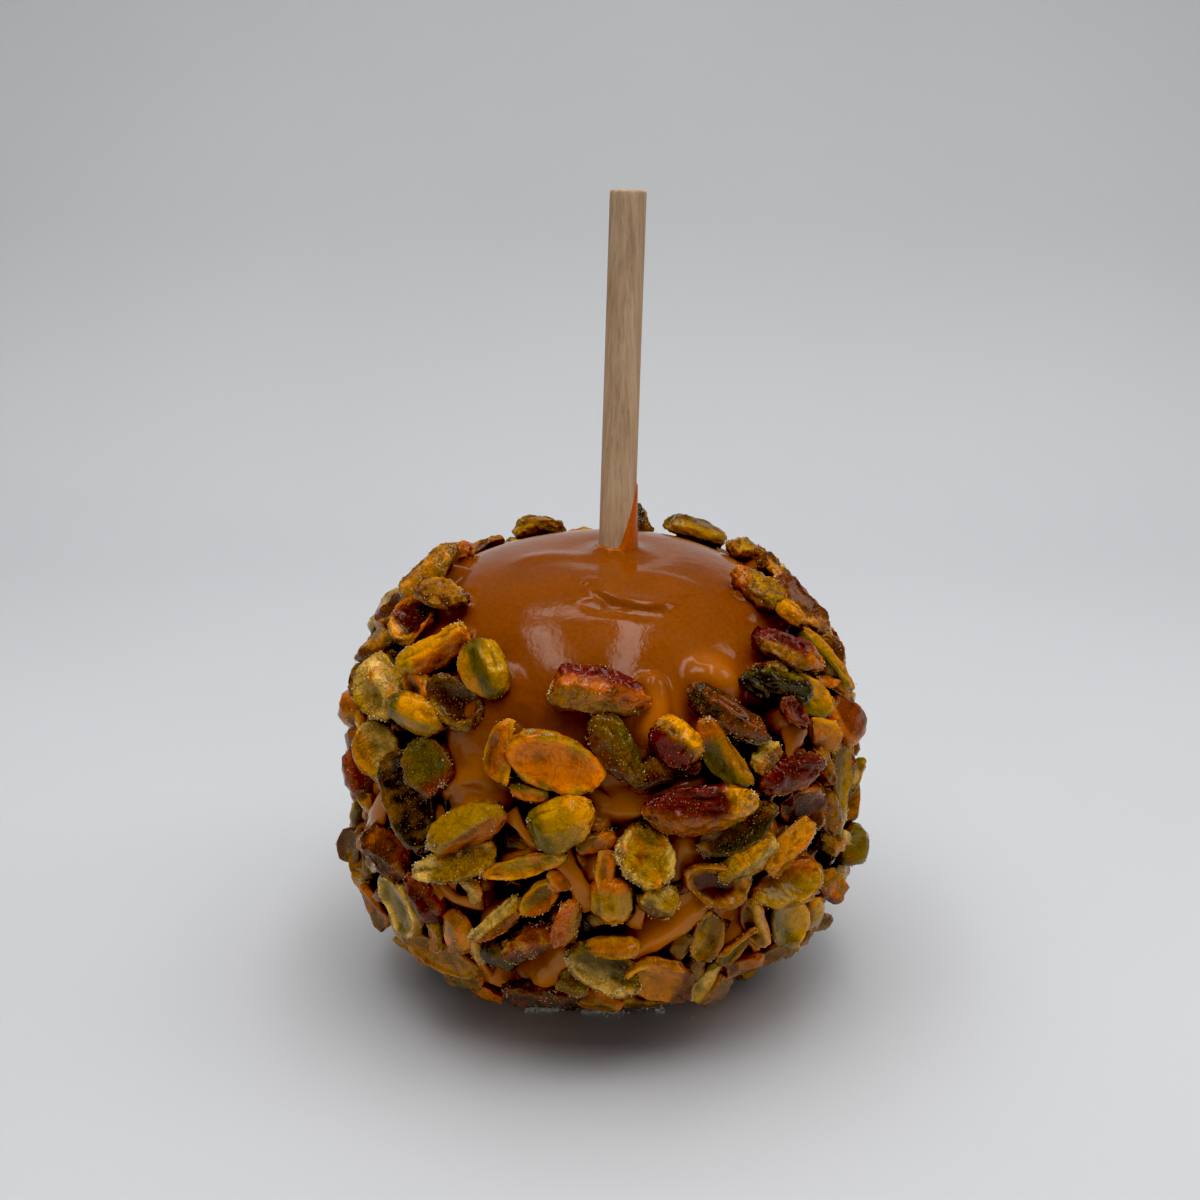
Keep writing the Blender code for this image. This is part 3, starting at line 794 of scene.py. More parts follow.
def kernel_mesh(k):
    """Points (mm), quads, tints and outward directions of one kernel."""
    rng = np.random.default_rng(k.seed)
    nv, nu = k.res
    t = np.linspace(0.03, np.pi - 0.03, nv)[:, None]
    s = np.linspace(0, 2 * np.pi, nu, endpoint=False)[None, :]
    s = s - 0.20 * np.sin(2 * s)
    so = rng.uniform(0, 60, 3)
    blunt = {"S": 0.66, "K": 0.66, "F": 0.98, "C": 0.84, "E": 0.72, "W": 0.92}.get(k.form, 1.04) * rng.uniform(0.90, 1.12)
    X = -np.cos(t) + 0 * s
    ring = np.sin(t) ** blunt
    Y, Z = ring * np.cos(s), ring * np.sin(s)
    taper = rng.uniform(0.06, 0.26) * (1 if rng.random() < 0.5 else -1)
    edge = noise3(np.stack([X * 2.6 + so[0], np.sign(np.cos(s)) * 3.0 + 0 * X, so[1] + 0 * X], -1))
    shape = (1 - taper * X) * (1 + 0.05 * edge)
    Xn, Yn, Zn = X.copy(), Y.copy(), Z.copy()
    half = np.array([k.L, k.W, k.H * (1.15 if k.form in "DW" else 1.0)]) / 2
    P = np.stack([X, Y * shape, Z * shape], -1) * half
    D = unit(np.stack([Xn * 0.8, Yn, Zn], -1) / half)
    # long facets and chips
    facet = np.zeros(X.shape)
    tone = np.ones(X.shape)
    for d, keep in cut_planes(k.form, rng):
        reach = float(np.linalg.norm(d * half))
        lim = reach * keep + (0.22 if k.form == "K" else 0.09) * noise3(P / 1.9 + rng.uniform(0, 30, 3))
        over = np.maximum(P @ d - lim, 0)
        P = P - over[..., None] * d * 0.94
        on = sstep(0.02, 0.25, over)
        D = unit(D * (1 - 0.75 * on[..., None]) + d * 0.75 * on[..., None])
        tone = tone * (1 - on) + on * rng.uniform(0.80, 1.22)
        facet = facet * (1 - on) + on * rng.uniform(0, 1)
    rho = np.sqrt((P[..., 0] / half[0]) ** 2 * 0.92 + (P[..., 1] / half[1]) ** 2)
    dish = np.clip(1 - (rho / 0.80) ** 2, 0, 1)
    top = sstep(-0.05, 0.25, Zn)
    if k.form == "F":
        lip = np.exp(-((rho - 0.84) / 0.10) ** 2)
        seam = np.exp(-((Yn - 0.12 * np.sin(2.4 * Xn + so[2])) / 0.06) ** 2) * np.clip(1 - np.abs(Xn) * 1.1, 0, 1)
        P[..., 2] += top * (0.07 * k.H * lip - 0.13 * k.H * dish - 0.04 * k.H * seam)
        # painted shade and highlight: darker along the seam, lighter on the raised lip
        tone = tone * (1 - 0.40 * top * seam) * (1 + 0.25 * top * lip)
    elif k.form == "C":
        P[..., 2] -= top * 0.42 * k.H * np.sqrt(dish)
        # painted shade: darker in the cup's hollow
        tone = tone * (1 - 0.55 * top * dish)
    elif k.form == "E":
        dish2 = np.clip(1 - (np.sqrt(Xn ** 2 * 0.9 + (Yn + 0.35) ** 2) / 0.62) ** 2, 0, 1)
        P[..., 2] -= top * 0.40 * k.H * dish2
        # painted shade: darker in the curl's hollow
        tone = tone * (1 - 0.4 * top * dish2)
    elif k.form in "DW" and rng.random() < 0.6:
        gy = rng.uniform(-0.15, 0.2)
        groove = np.exp(-((Yn - gy - 0.10 * np.sin(2.2 * Xn + so[2])) / 0.085) ** 2) * sstep(0.9, 0.55, np.abs(Xn)) * top
        P[..., 2] -= 0.075 * k.H * groove
        # painted shade: darker in the groove
        tone = tone * (1 - 0.45 * groove)
    bend = rng.uniform(-0.16, 0.16) if k.form != "E" else 0.42
    P[..., 1] += bend * (Xn ** 2 - 0.4) * half[1]
    P[..., 2] += rng.uniform(-0.22, 0.10) * (Xn ** 2 - 0.35) * half[2]
    twist = rng.uniform(-0.45, 0.45) * Xn
    ct, st = np.cos(twist), np.sin(twist)
    P[..., 1], P[..., 2] = P[..., 1] * ct - P[..., 2] * st, P[..., 1] * st + P[..., 2] * ct
    # wrinkles along it, lumps and rough skin
    wr = {"skin": 0.46, "dark": 0.46, "rough": 0.34, "smooth": 0.25}[k.mat]
    gr = {"skin": 0.10, "dark": 0.13, "rough": 0.14, "smooth": 0.05}[k.mat]
    lump = noise3(P / 3.6 + so)
    fold = 1 - 2.2 * np.abs(noise3(P * np.array([0.20, 0.70, 0.70]) + so * 1.7))
    if nv > 40:
        fold = fold + 0.45 * (0.5 - 2.2 * np.abs(noise3(P * np.array([0.42, 1.25, 1.25]) + so * 0.9)))
    pit = noise3(P / 1.5 + so * 2.7)
    fine = noise3(P / 0.75 + so * 2.1)
    P = P + D * (0.035 * k.W * lump + wr * (fold - 0.5) + gr * (1.4 * fine + 0.9 * pit))[..., None]
    # colours
    a, b, c = k.cols
    tint = np.broadcast_to(PAL[a], P.shape).copy()
    for word in (b, c):
        colour, where = word.split(":")
        m = place_mask(where, Xn, Yn, Zn, rng, P)[..., None]
        tint = tint * (1 - m) + PAL[colour] * m
    if k.form in "FC":
        # the thin skin on its back and along its rim
        skin = np.clip(0.55 * sstep(0.22, -0.12, Zn) + 0.60 * top * np.exp(-((rho - 0.95) / 0.06) ** 2), 0, 1)
        skin = (skin * sstep(-0.7, 0.3, pit + 0.4))[..., None]
        tint = tint * (1 - skin) + lin(116, 66, 20) * skin
    # painted shade: darker in the creases of the folds, a little darker in sunk pits and lighter on raised ones
    crease = sstep(0.15, -0.7, fold)
    tint = tint * (tone * (1.0 + 0.12 * noise3(P / 2.4 + so * 0.7) + 0.10 * pit) * (1 - 0.58 * crease))[..., None]
    # painted shade: loose kernels pushed down between the others are about a quarter darker
    tint = tint * (0.80 + 0.28 * rng.random()) * (0.74 if k.low else 1.0)
    # painted shade: darker on the kernel's own underside
    under = sstep(0.15, -0.75, Zn)[..., None]
    tint = tint * (1 - 0.5 * under)
    world = k.C + P[..., :1] * k.A + P[..., 1:2] * k.B + P[..., 2:] * k.N
    out = D[..., :1] * k.A + D[..., 1:2] * k.B + D[..., 2:] * k.N
    # painted shade: darker where the kernel faces down
    tint = tint * (1 - 0.34 * sstep(0.05, -0.75, out[..., 2:]))
    # painted shade: loose kernels near the pockets are painted almost black
    if k.name.startswith("R"):
        for C, r in POCKETS:
            if np.abs(C - k.C).max() < 15:
                tint = tint * (1 - 0.93 * np.exp(-(np.linalg.norm(world - C, axis=-1, keepdims=True) / r) ** 4))
    # caramel stains a kernel where it sits in it, with painted shade: the kernel's low parts near the caramel are
    # darker
    stain_and_shade = sstep(k.gap + 0.1 * k.H, k.gap - 0.55 * k.H, body_gap(world) + 0.5 * lump)[..., None]
    tint = tint * (1 - 0.62 * stain_and_shade) + lin(96, 48, 12) * 0.25 * stain_and_shade
    tint = np.clip(tint * np.array([1.16, 1.08, 0.96] if k.mat == "skin" else [1.14, 1.08, 0.60]), 0.0005, 1)
    if k.name.startswith("R"):
        for o in OVER:
            if np.abs(o.C - k.C).max() > 15:
                continue
            q = world - o.C
            d2 = (q @ o.A / (0.54 * o.L)) ** 2 + (q @ o.B / (0.54 * o.W)) ** 2
            over = np.maximum(q @ o.N + 0.12 * o.H, 0) * sstep(1.25, 0.85, d2) * (body_gap(world) > -6)
            world = world - np.clip(over, 0, 7)[..., None] * o.N
    # nothing sinks deep into the apple or through the table
    gap = body_gap(world)
    q = unit(world - np.array([0, 0, CZ]))
    world = world + q * np.maximum(-3.4 - gap, 0)[..., None]
    world[..., 2] = np.maximum(world[..., 2], 0.12 + 0.25 * (0.5 + 0.5 * fine))
    caps = np.stack([world[0].mean(0), world[-1].mean(0)])
    verts = np.concatenate([world.reshape(-1, 3), caps])
    quads = grid_faces(nv, nu)
    j = np.arange(nu)
    n0, n1 = nv * nu, nv * nu + 1
    tris = np.concatenate([
        np.stack([np.full(nu, n0), (j + 1) % nu, j], -1),
        np.stack([np.full(nu, n1), (nv - 1) * nu + j, (nv - 1) * nu + (j + 1) % nu], -1)])
    tints = np.concatenate([tint.reshape(-1, 3), tint[0].mean(0)[None], tint[-1].mean(0)[None]])
    dirs = np.concatenate([out.reshape(-1, 3), -k.A[None], k.A[None]])
    return verts, quads, tris, tints, dirs


def joined(kernels):
    V, Q, T, C, D, n = [], [], [], [], [], 0
    for k in kernels:
        v, q, t, c, d = MESHES[k.name]
        # painted shade: darker where a point lies below the coat round it
        shade = sstep(0.2, 2.7, around(v, NEAR_MAP) - body_gap(v)) * 0.80
        shade = np.clip(shade + sstep(0.3, 3.4, around(v, WIDE_MAP) - body_gap(v)) * 0.36, 0, 0.95)
        c = c * (1 - shade[:, None])
        V.append(v), Q.append(q + n), T.append(t + n), C.append(c), D.append(d)
        n += len(v)
    return np.concatenate(V), np.concatenate(Q), np.concatenate(T), np.concatenate(C), np.concatenate(D)


def outward(obj):
    """Turns the faces out if the mesh is inside out."""
    import bmesh
    bm = bmesh.new()
    bm.from_mesh(obj.data)
    if bm.calc_volume(signed=True) < 0:
        bmesh.ops.reverse_faces(bm, faces=bm.faces)
        bm.to_mesh(obj.data)
    bm.free()


# =====================================================================
# Kernels into pieces
# =====================================================================
shown = shown_kernels()
far = []
for k, (name, az, T, roll, L, W, form, a, b, c, mat) in enumerate(FAR_NODES):
    C = on_body(az, T, 1.7)
    n = body_normal(C)
    east = unit(np.cross([0, 0, 1], n))
    down = np.cross(n, east) * -1
    A = east * math.cos(rad(roll)) + down * math.sin(rad(roll))
    far.append(Kernel(name, C, A, n, L, W, 0.68 * W, form, (a, b, c), mat, 7000 + k, 14, (40, 32)))
fill = fill_kernels(shown + far)
print("kernels shown", len(shown), "fill", len(fill))

# The top of the coat over each degree of the surface, for painted shade: points that lie under what stands
# round them are painted darker.
OVER = shown + far
MESHES = {k.name: kernel_mesh(k) for k in shown + far + fill}
TOP_MAP = np.full((180, 360), -3.0)


def degrees_of(P):
    q = P - np.array([0, 0, CZ])
    T = np.degrees(np.arccos(np.clip(q[..., 2] / np.maximum(np.linalg.norm(q, axis=-1), 1e-9), -1, 1)))
    return T, np.degrees(np.arctan2(q[..., 0], -q[..., 1])) % 360


for v, *_ in MESHES.values():
    T_, A_ = degrees_of(v)
    np.maximum.at(TOP_MAP, (np.clip(T_.astype(int), 0, 179), A_.astype(int) % 360), body_gap(v))


def spread(grid, r):
    padded = np.pad(grid, ((r, r), (0, 0)), mode="edge")
    total, n = np.zeros(grid.shape), 0
    for i in range(-r, r + 1):
        for j in range(-r, r + 1):
            if i * i + j * j <= r * r + 1:
                total += np.roll(padded[r + i:r + i + grid.shape[0]], j, axis=1)
                n += 1
    return total / n


TOP_MAP = np.maximum(TOP_MAP, spread(TOP_MAP, 1))
NEAR_MAP, WIDE_MAP = spread(TOP_MAP, 3), spread(TOP_MAP, 6)


def around(P, grid):
    """The mean height of the coat round each point, between the cells of the map."""
    T, A = degrees_of(P)
    t, a = np.clip(T - 0.5, 0, 178.0), (A - 0.5) % 360
    i, j = np.minimum(t.astype(int), 178), a.astype(int) % 360
    u, w = t - i, a - a.astype(int)
    j2 = (j + 1) % 360
    return ((grid[i, j] * (1 - w) + grid[i, j2] * w) * (1 - u)
            + (grid[i + 1, j] * (1 - w) + grid[i + 1, j2] * w) * u)


grain_sites = []
pieces = []


def add_kernels(name, kernels, mat, nodes):
    if not kernels:
        return
    v, q, t, c, d = joined(kernels)
    obj = make_mesh(name, v, [q, t], c)
    outward(obj)
    obj.data.materials.append(MAT[mat])
    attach(obj, "root")
    if nodes:
        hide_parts(*nodes)
    pieces.append(obj)
    n = 0
    for k in kernels:
        m = k.res[0] * k.res[1] + 2
        vv, dd, cc = v[n:n + m], d[n:n + m], c[n:n + m]
        n += m
        grain_sites.append((k, vv, dd, cc))


for k in shown:
    if k.name in NODE_OF:
        add_kernels("nut_" + NODE_OF[k.name][7:], [k], k.mat, [NODE_OF[k.name]])
for k in far:
    add_kernels("nut_" + k.name[7:], [k], k.mat, [k.name])
rest = [k for k in shown if k.name not in NODE_OF] + fill
GREENS = ("green", "yelgreen", "olive", "dkgreen")
for mat, word in (("smooth", "green"), ("smooth", "amber"), ("rough", "rough_salted"), ("skin", "purple_skinned"), ("dark", "dark")):
    group = [k for k in rest if k.mat == mat and (mat != "smooth" or (k.cols[0] in GREENS) == (word == "green"))]
    add_kernels("coat_kernels_" + word, group, mat, ["nut_coat"])

# =====================================================================
# Caramel
# =====================================================================
NT, NA = 236, 420
Tg = np.concatenate([np.linspace(2.2, 62, 100)[:-1], np.linspace(62, 150, 112)[:-1], np.linspace(150, 178, 25)])
NT = len(Tg)
Ag = np.arange(NA) * 360.0 / NA
TT, AA = np.meshgrid(np.radians(Tg), np.radians(Ag), indexing="ij")
DIR = np.stack([np.sin(TT) * np.sin(AA), -np.sin(TT) * np.cos(AA), np.cos(TT)], -1)
R0 = body_r(TT)
P0 = DIR * R0[..., None] + np.array([0, 0, CZ])
AZ = (np.degrees(AA) + 180) % 360 - 180
RIM = (55 - 2.5 * (1 - np.cos(AA)) + 14.5 * np.exp(-((AZ - 2) / 27.0) ** 2)
       + 1.2 * np.sin(3 * AA + 0.6) + 0.8 * np.sin(7 * AA))
FROM_RIM = np.degrees(TT) - RIM
cap = sstep(5.0, -6.0, FROM_RIM)
SUNK = -4.2
rise = (0.35 * noise3(P0 / 26.0 + 4.0)) * cap
rise = rise + (1 - cap) * (SUNK + 0.9 * noise3(P0 / 9.0 + 9.0) + 0.4 * noise3(P0 / 3.6))


pool = np.zeros(R0.shape)


def smax(a, b, k=0.6):
    """The larger of two heights, rounded where they meet."""
    h = np.clip(0.5 + 0.5 * (a - b) / k, 0, 1)
    return b + (a - b) * h + k * h * (1 - h)


def near(points, w):
    """Distance from each caramel point to a line through the points."""
    best = np.full(R0.shape, 1e9)
    for a, b in zip(points[:-1], points[1:]):
        ab = b - a
        u = np.clip(((P0 - a) @ ab) / max(ab @ ab, 1e-9), 0, 1)
        best = np.minimum(best, np.linalg.norm(P0 - a - u[..., None] * ab, axis=-1))
    return best


def smooth_line(pts, n=6):
    pts = np.asarray(pts, float)
    if len(pts) < 3:
        return pts
    ext = np.concatenate([[2 * pts[0] - pts[1]], pts, [2 * pts[-1] - pts[-2]]])
    out = []
    for i in range(len(pts) - 1):
        p0, p1, p2, p3 = ext[i:i + 4]
        for u in np.linspace(0, 1, n, endpoint=False):
            out.append(0.5 * ((2 * p1) + (-p0 + p2) * u + (2 * p0 - 5 * p1 + 4 * p2 - p3) * u * u
                              + (-p0 + 3 * p1 - 3 * p2 + p3) * u ** 3))
    out.append(pts[-1])
    return np.array(out)


def ridge(pix, width, height, sharp=2.0):
    """A fold on the smooth caramel along a line across the picture."""
    global rise
    line = smooth_line([land(x, y, 0.0) for x, y in pix])
    rise = rise + height * np.exp(-np.abs(near(line, width) / width) ** sharp)


def flow(pix, width, height, soft=0.8):
    """Caramel that has run along a line, up to a level above or below the apple's own."""
    global rise, pool
    line = smooth_line([land(x, y, 0.0) for x, y in pix])
    d = near(line, width) / width
    e = np.exp(-d ** 3)
    pool = np.maximum(pool, e)
    rise = smax(rise, height * e + (SUNK - 1.5) * (1 - e), soft)


def blob(x, y, rx, ry, height, ang=0.0, power=2.0, add=True):
    """A swelling or a dent centred on a pixel: half sizes in mm."""
    global rise, pool
    C = land(x, y, 0.0)
    N = body_normal(C)
    img = C_RIGHT * math.cos(rad(ang)) - C_UP * math.sin(rad(ang))
    A = unit(img - (img @ N) * N)
    B = np.cross(N, A)
    q = P0 - C
    d2 = ((q @ A) / rx) ** 2 + ((q @ B) / ry) ** 2 + ((q @ N) / 12.0) ** 2
    e = np.exp(-d2 ** (power / 2))
    if height > 0:
        pool = np.maximum(pool, e)
    rise = rise + height * e if add else smax(rise, height * e + (SUNK - 1.5) * (1 - e), 0.7)


def lip(pix, up_width, down_width, height):
    """The edge of a sheet that has run over another: steep on its lower side."""
    global rise
    line = smooth_line([land(x, y, 0.0) for x, y in pix])
    best, side = np.full(R0.shape, 1e9), np.ones(R0.shape)
    for a, b in zip(line[:-1], line[1:]):
        ab = b - a
        u = np.clip(((P0 - a) @ ab) / max(ab @ ab, 1e-9), 0, 1)
        q = P0 - a - u[..., None] * ab
        d = np.linalg.norm(q, axis=-1)
        n = body_normal((a + b) / 2)
        sd = np.sign(q @ np.cross(n, ab))
        side = np.where(d < best, sd, side)
        best = np.minimum(best, d)
    ends = np.minimum(np.linalg.norm(P0 - line[0], axis=-1), np.linalg.norm(P0 - line[-1], axis=-1))
    w = np.where(side > 0, up_width, down_width)
    rise = rise + height * np.exp(-(best / w) ** 2) * (1 - 0.8 * np.exp(-(ends / 2.2) ** 2))


# the bare cap
axis_d = np.linalg.norm(np.cross(P0 - STICK_BASE, LEAN), axis=-1)
top_half = P0[..., 2] > 60
rise += np.where(top_half, 0.9 * np.exp(-((axis_d - 2.6) / 1.7) ** 2) - 0.35 * np.exp(-((axis_d - 8.0) / 3.2) ** 2), 0)
ridge([(532, 557), (560, 554), (590, 556)], 2.4, 0.35)
lip([(590, 588), (598, 592), (611, 598), (628, 604), (648, 607), (664, 606), (678, 601)], 2.6, 0.75, 0.95)
blob(602, 607, 2.6, 1.3, -0.75, 12)
blob(636, 613, 5.0, 1.6, -0.30, 4)
lip([(640, 578), (668, 580), (690, 588), (704, 600)], 2.0, 1.2, 0.35)
blob(560, 585, 9, 5, 0.25)
blob(700, 590, 8, 5, 0.2)
ridge([(752, 612), (780, 622), (812, 640)], 2.2, 1.2)
# lumps and flows between the kernels
blob(716, 683, 4.6, 3.5, 3.0, 20, 3)
flow([(652, 690), (654, 712), (650, 732)], 4.2, 2.6, 0.5)
flow([(500, 690), (478, 720), (466, 750), (470, 800)], 8.4, 1.0)
blob(472, 722, 6, 4, 0.9, 0)
ridge([(446, 790), (465, 781), (480, 779)], 1.3, 0.9)
ridge([(486, 698), (478, 716), (472, 738)], 1.5, 0.8)
ridge([(520, 706), (505, 726), (498, 748)], 1.4, 0.5)
ridge([(500, 812), (516, 796), (540, 792)], 1.2, 0.7)
blob(625, 802, 8.6, 5.6, 0.7, -6, 3, False)
ridge([(592, 808), (625, 816), (660, 802)], 1.1, 0.7)
flow([(388, 778), (380, 798), (370, 820), (367, 836)], 2.4, 1.8)
flow([(400, 872), (425, 885), (444, 900), (462, 902), (484, 900)], 1.7, 0.8)
flow([(560, 850), (572, 872), (588, 888), (576, 902)], 1.5, 1.6)
flow([(578, 852), (586, 872), (592, 890)], 1.1, 1.2)
flow([(700, 902), (668, 926), (632, 948)], 3.8, 2.3, 0.4)
ridge([(690, 902), (664, 920), (634, 940)], 0.9, 0.8)
flow([(690, 850), (684, 885), (700, 905), (735, 912), (750, 925)], 5.8, 1.0)
flow([(496, 970), (526, 982), (554, 968), (568, 948)], 3.8, 2.4, 0.4)
ridge([(504, 968), (528, 974), (550, 960)], 0.9, 0.7)
flow([(466, 940), (478, 956), (486, 975), (505, 992)], 2.2, 0.8)
flow([(520, 826), (534, 846), (548, 850)], 1.7, 1.0)
flow([(372, 862), (384, 868), (392, 872)], 2.2, 0.6)
flow([(756, 940), (776, 944), (790, 942)], 1.8, 0.6)
flow([(560, 700), (590, 735), (600, 760)], 4.0, -0.6)
flow([(520, 720), (540, 735), (560, 730)], 4.0, 0.0)
# the same kind of runs and bare pools all round the sides
run_rng = np.random.default_rng(41)
for i in range(46):
    az, T = run_rng.uniform(24, 336), run_rng.uniform(58, 142)
    steps, heading = run_rng.integers(2, 5), run_rng.uniform(-1.3, 1.3)
    pts = []
    for _ in range(steps):
        pts.append(on_body(az, T))
        az += 5.5 * math.sin(heading) + run_rng.uniform(-2, 2)
        T += 5.5 * math.cos(heading)
    line = smooth_line(pts)
    width, level = run_rng.uniform(1.5, 4.8), run_rng.uniform(-0.8, 1.0)
    e = np.exp(-(near(line, width) / width) ** 3)
    rise = smax(rise, level * e + (SUNK - 1.5) * (1 - e), 0.8)

folds = (1 - 2.4 * np.abs(noise3(P0 * np.array([0.22, 0.22, 0.12]) + 31.0))) * (1 - cap)
rise = rise + 0.34 * folds
ripple = sstep(-16, -4, FROM_RIM)
rise = rise + ripple * (0.30 * noise3(P0 / 5.2 + 21.0) + 0.16 * noise3(P0 / 2.4 + 5.0))

# caramel climbs up round each kernel that sits in it
for k in shown + far + fill:
    q = P0 - k.C
    close = (np.abs(q).max(-1) < 14)
    if not close.any():
        continue
    qq = q[close]
    grow = 0.5
    d2 = ((qq @ k.A) / (k.L / 2 + grow)) ** 2 + ((qq @ k.B) / (k.W / 2 + grow)) ** 2
    level = float(k.gap) - 0.15 * k.H
    e = np.exp(-d2 ** 1.6 * 0.9)
    r = rise[close]
    rise[close] = smax(r, level * e + (SUNK - 1.5) * (1 - e), 0.5)

# no caramel below the table, and a flat foot
R1 = R0 + np.clip(rise, -5.4, 4.2) * sstep(rad(166), rad(150), TT)
P1 = DIR * R1[..., None] + np.array([0, 0, CZ])
P1[..., 2] = np.maximum(P1[..., 2], 0.02)
top_pole = P1[0].mean(0) + np.array([0, 0, 0.05])
low_pole = np.array([0, 0, 0.02])
verts = np.concatenate([P1.reshape(-1, 3), [top_pole, low_pole]])
quads = grid_faces(NT, NA)
j = np.arange(NA)
tris = np.concatenate([
    np.stack([np.full(NA, NT * NA), (j + 1) % NA, j], -1),
    np.stack([np.full(NA, NT * NA + 1), (NT - 1) * NA + j, (NT - 1) * NA + (j + 1) % NA], -1)])
sunk = R1 - R0
# painted shade: darker where the caramel lies below the coat round it, where it is sunk deep, and in the pockets; not
# on the cap or in the bare pools
hollow = np.clip(1.0 * sstep(0.5, 3.2, around(P1, NEAR_MAP) - sunk)
                 + 0.35 * sstep(0.8, 4.0, around(P1, WIDE_MAP) - sunk), 0, 1) * (1 - 0.88 * pool)
hollow = np.maximum(hollow, 0.85 * sstep(-2.0, -3.8, sunk)) * (1 - 0.9 * cap)
for C, r in POCKETS:
    hollow = np.maximum(hollow, 0.97 * np.exp(-(np.linalg.norm(P1 - C, axis=-1) / r) ** 4))
hollow = np.concatenate([hollow.reshape(-1), [0.0, 1.0]])
# painted light: paler caramel at a few folds and lumps that lie in shade: where, how wide (mm), how pale
pale = np.zeros(R1.shape)
for x, y, r, w in ((654, 716, 4.6, 0.80), (655, 930, 4.5, 0.70), (530, 978, 5.5, 0.75), (716, 683, 4.2, 0.60), (484, 968, 3.5, 0.6)):
    pale = np.maximum(pale, w * np.exp(-(np.linalg.norm(P1 - land(x, y, 0.0), axis=-1) / r) ** 2))
pale = np.concatenate([pale.reshape(-1), [0.0, 0.0]])
caramel = make_mesh("caramel", verts, [quads, tris], extra={"hollow": hollow, "pale": pale})
outward(caramel)
caramel.data.materials.append(MAT["caramel"])
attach(caramel, "root")
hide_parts("caramel_apple", "nut_coat")
pieces.append(caramel)

# Strands, drips and torn edges of caramel: pixel x, y, how far above the apple, half width
STRANDS = [
    [(510, 812, 0.8, 1.6), (522, 830, 1.6, 0.8), (532, 843, 2.0, 0.8), (542, 853, 1.2, 1.7)],
    [(556, 846, 0.8, 2.4), (568, 868, 2.2, 1.7), (580, 888, 2.6, 1.6), (592, 904, 1.2, 2.8)],
    [(391, 776, 2.6, 0.7), (386, 794, 2.8, 1.6), (378, 816, 2.6, 2.4), (368, 838, 2.0, 1.6)],
    [(796, 700, 1.6, 2.4), (795, 716, 2.8, 3.7), (793, 734, 3.6, 2.8), (790, 750, 3.9, 1.2), (789, 761, 4.0, 0.2)],
    [(445, 792, 0.6, 1.6), (460, 782, 1.6, 0.8), (478, 778, 0.6, 1.4)],
    [(388, 866, 1.2, 1.4), (404, 874, 2.6, 0.9), (424, 884, 2.4, 1.1), (444, 898, 2.0, 1.8)],
    [(440, 886, 1.8, 1.4), (460, 900, 2.4, 1.0), (484, 902, 1.2, 1.6)],
    [(512, 990, 2.0, 1.2), (514, 1000, 1.4, 0.6), (515, 1006, 0.8, 0.25)],
    [(566, 996, 2.0, 1.3), (567, 1005, 1.2, 0.6), (567, 1010, 0.6, 0.25)],
    [(752, 938, 2.0, 1.2), (757, 950, 2.6, 0.7), (759, 958, 2.4, 0.25)],
    [(642, 894, 1.4, 1.2), (640, 912, 2.4, 0.8), (634, 926, 1.6, 1.4)],
    [(726, 790, 0.5, 1.6), (742, 800, 1.8, 0.9), (760, 796, 1.2, 1.4)],
    [(752, 868, 1.4, 1.5), (768, 862, 2.4, 0.9), (780, 850, 1.6, 1.3)],
    [(836, 780, 1.0, 1.2), (846, 800, 2.0, 1.0), (846, 824, 1.6, 1.3)],
    [(812, 736, 1.5, 1.3), (826, 748, 2.6, 1.0), (842, 746, 2.2, 0.5)],
    [(470, 946, 1.2, 1.3), (480, 962, 2.2, 0.9), (492, 978, 1.4, 1.4)],
    [(584, 790, -0.4, 1.6), (620, 806, 0.5, 1.0), (660, 792, -0.2, 1.6)],
]


def strand_mesh(points, widths, flat=0.50, sides=12):
    """A tapered, flattened run of caramel through points, closed at both ends."""
    pts, w = smooth_line(points, 5), None
    u = np.linspace(0, len(points) - 1, len(pts))
    w = np.interp(u, np.arange(len(points)), widths)
    ph = np.linspace(0, 2 * np.pi, sides, endpoint=False)
    rows = []
    for i, c in enumerate(pts):
        d = unit(pts[min(i + 1, len(pts) - 1)] - pts[max(i - 1, 0)])
        n = body_normal(c)
        n = unit(n - (n @ d) * d)
        b = np.cross(d, n)
        ring = w[i] * (1 + 0.26 * noise3(np.stack([np.cos(ph) * 1.3, np.sin(ph) * 1.3, np.full(sides, i * 0.45)], -1) + c / 9))
        rows.append(c + (np.cos(ph) * ring)[:, None] * b + (np.sin(ph) * ring * flat)[:, None] * n)
    rows = np.array(rows)
    rows[..., 2] = np.maximum(rows[..., 2], 0.15)
    m = len(pts) * sides
    jj = np.arange(sides)
    verts = np.concatenate([rows.reshape(-1, 3), [rows[0].mean(0), rows[-1].mean(0)]])
    tris = np.concatenate([
        np.stack([np.full(sides, m), (jj + 1) % sides, jj], -1),
        np.stack([np.full(sides, m + 1), (len(pts) - 1) * sides + jj, (len(pts) - 1) * sides + (jj + 1) % sides], -1)])
    return verts, grid_faces(len(pts), sides), tris


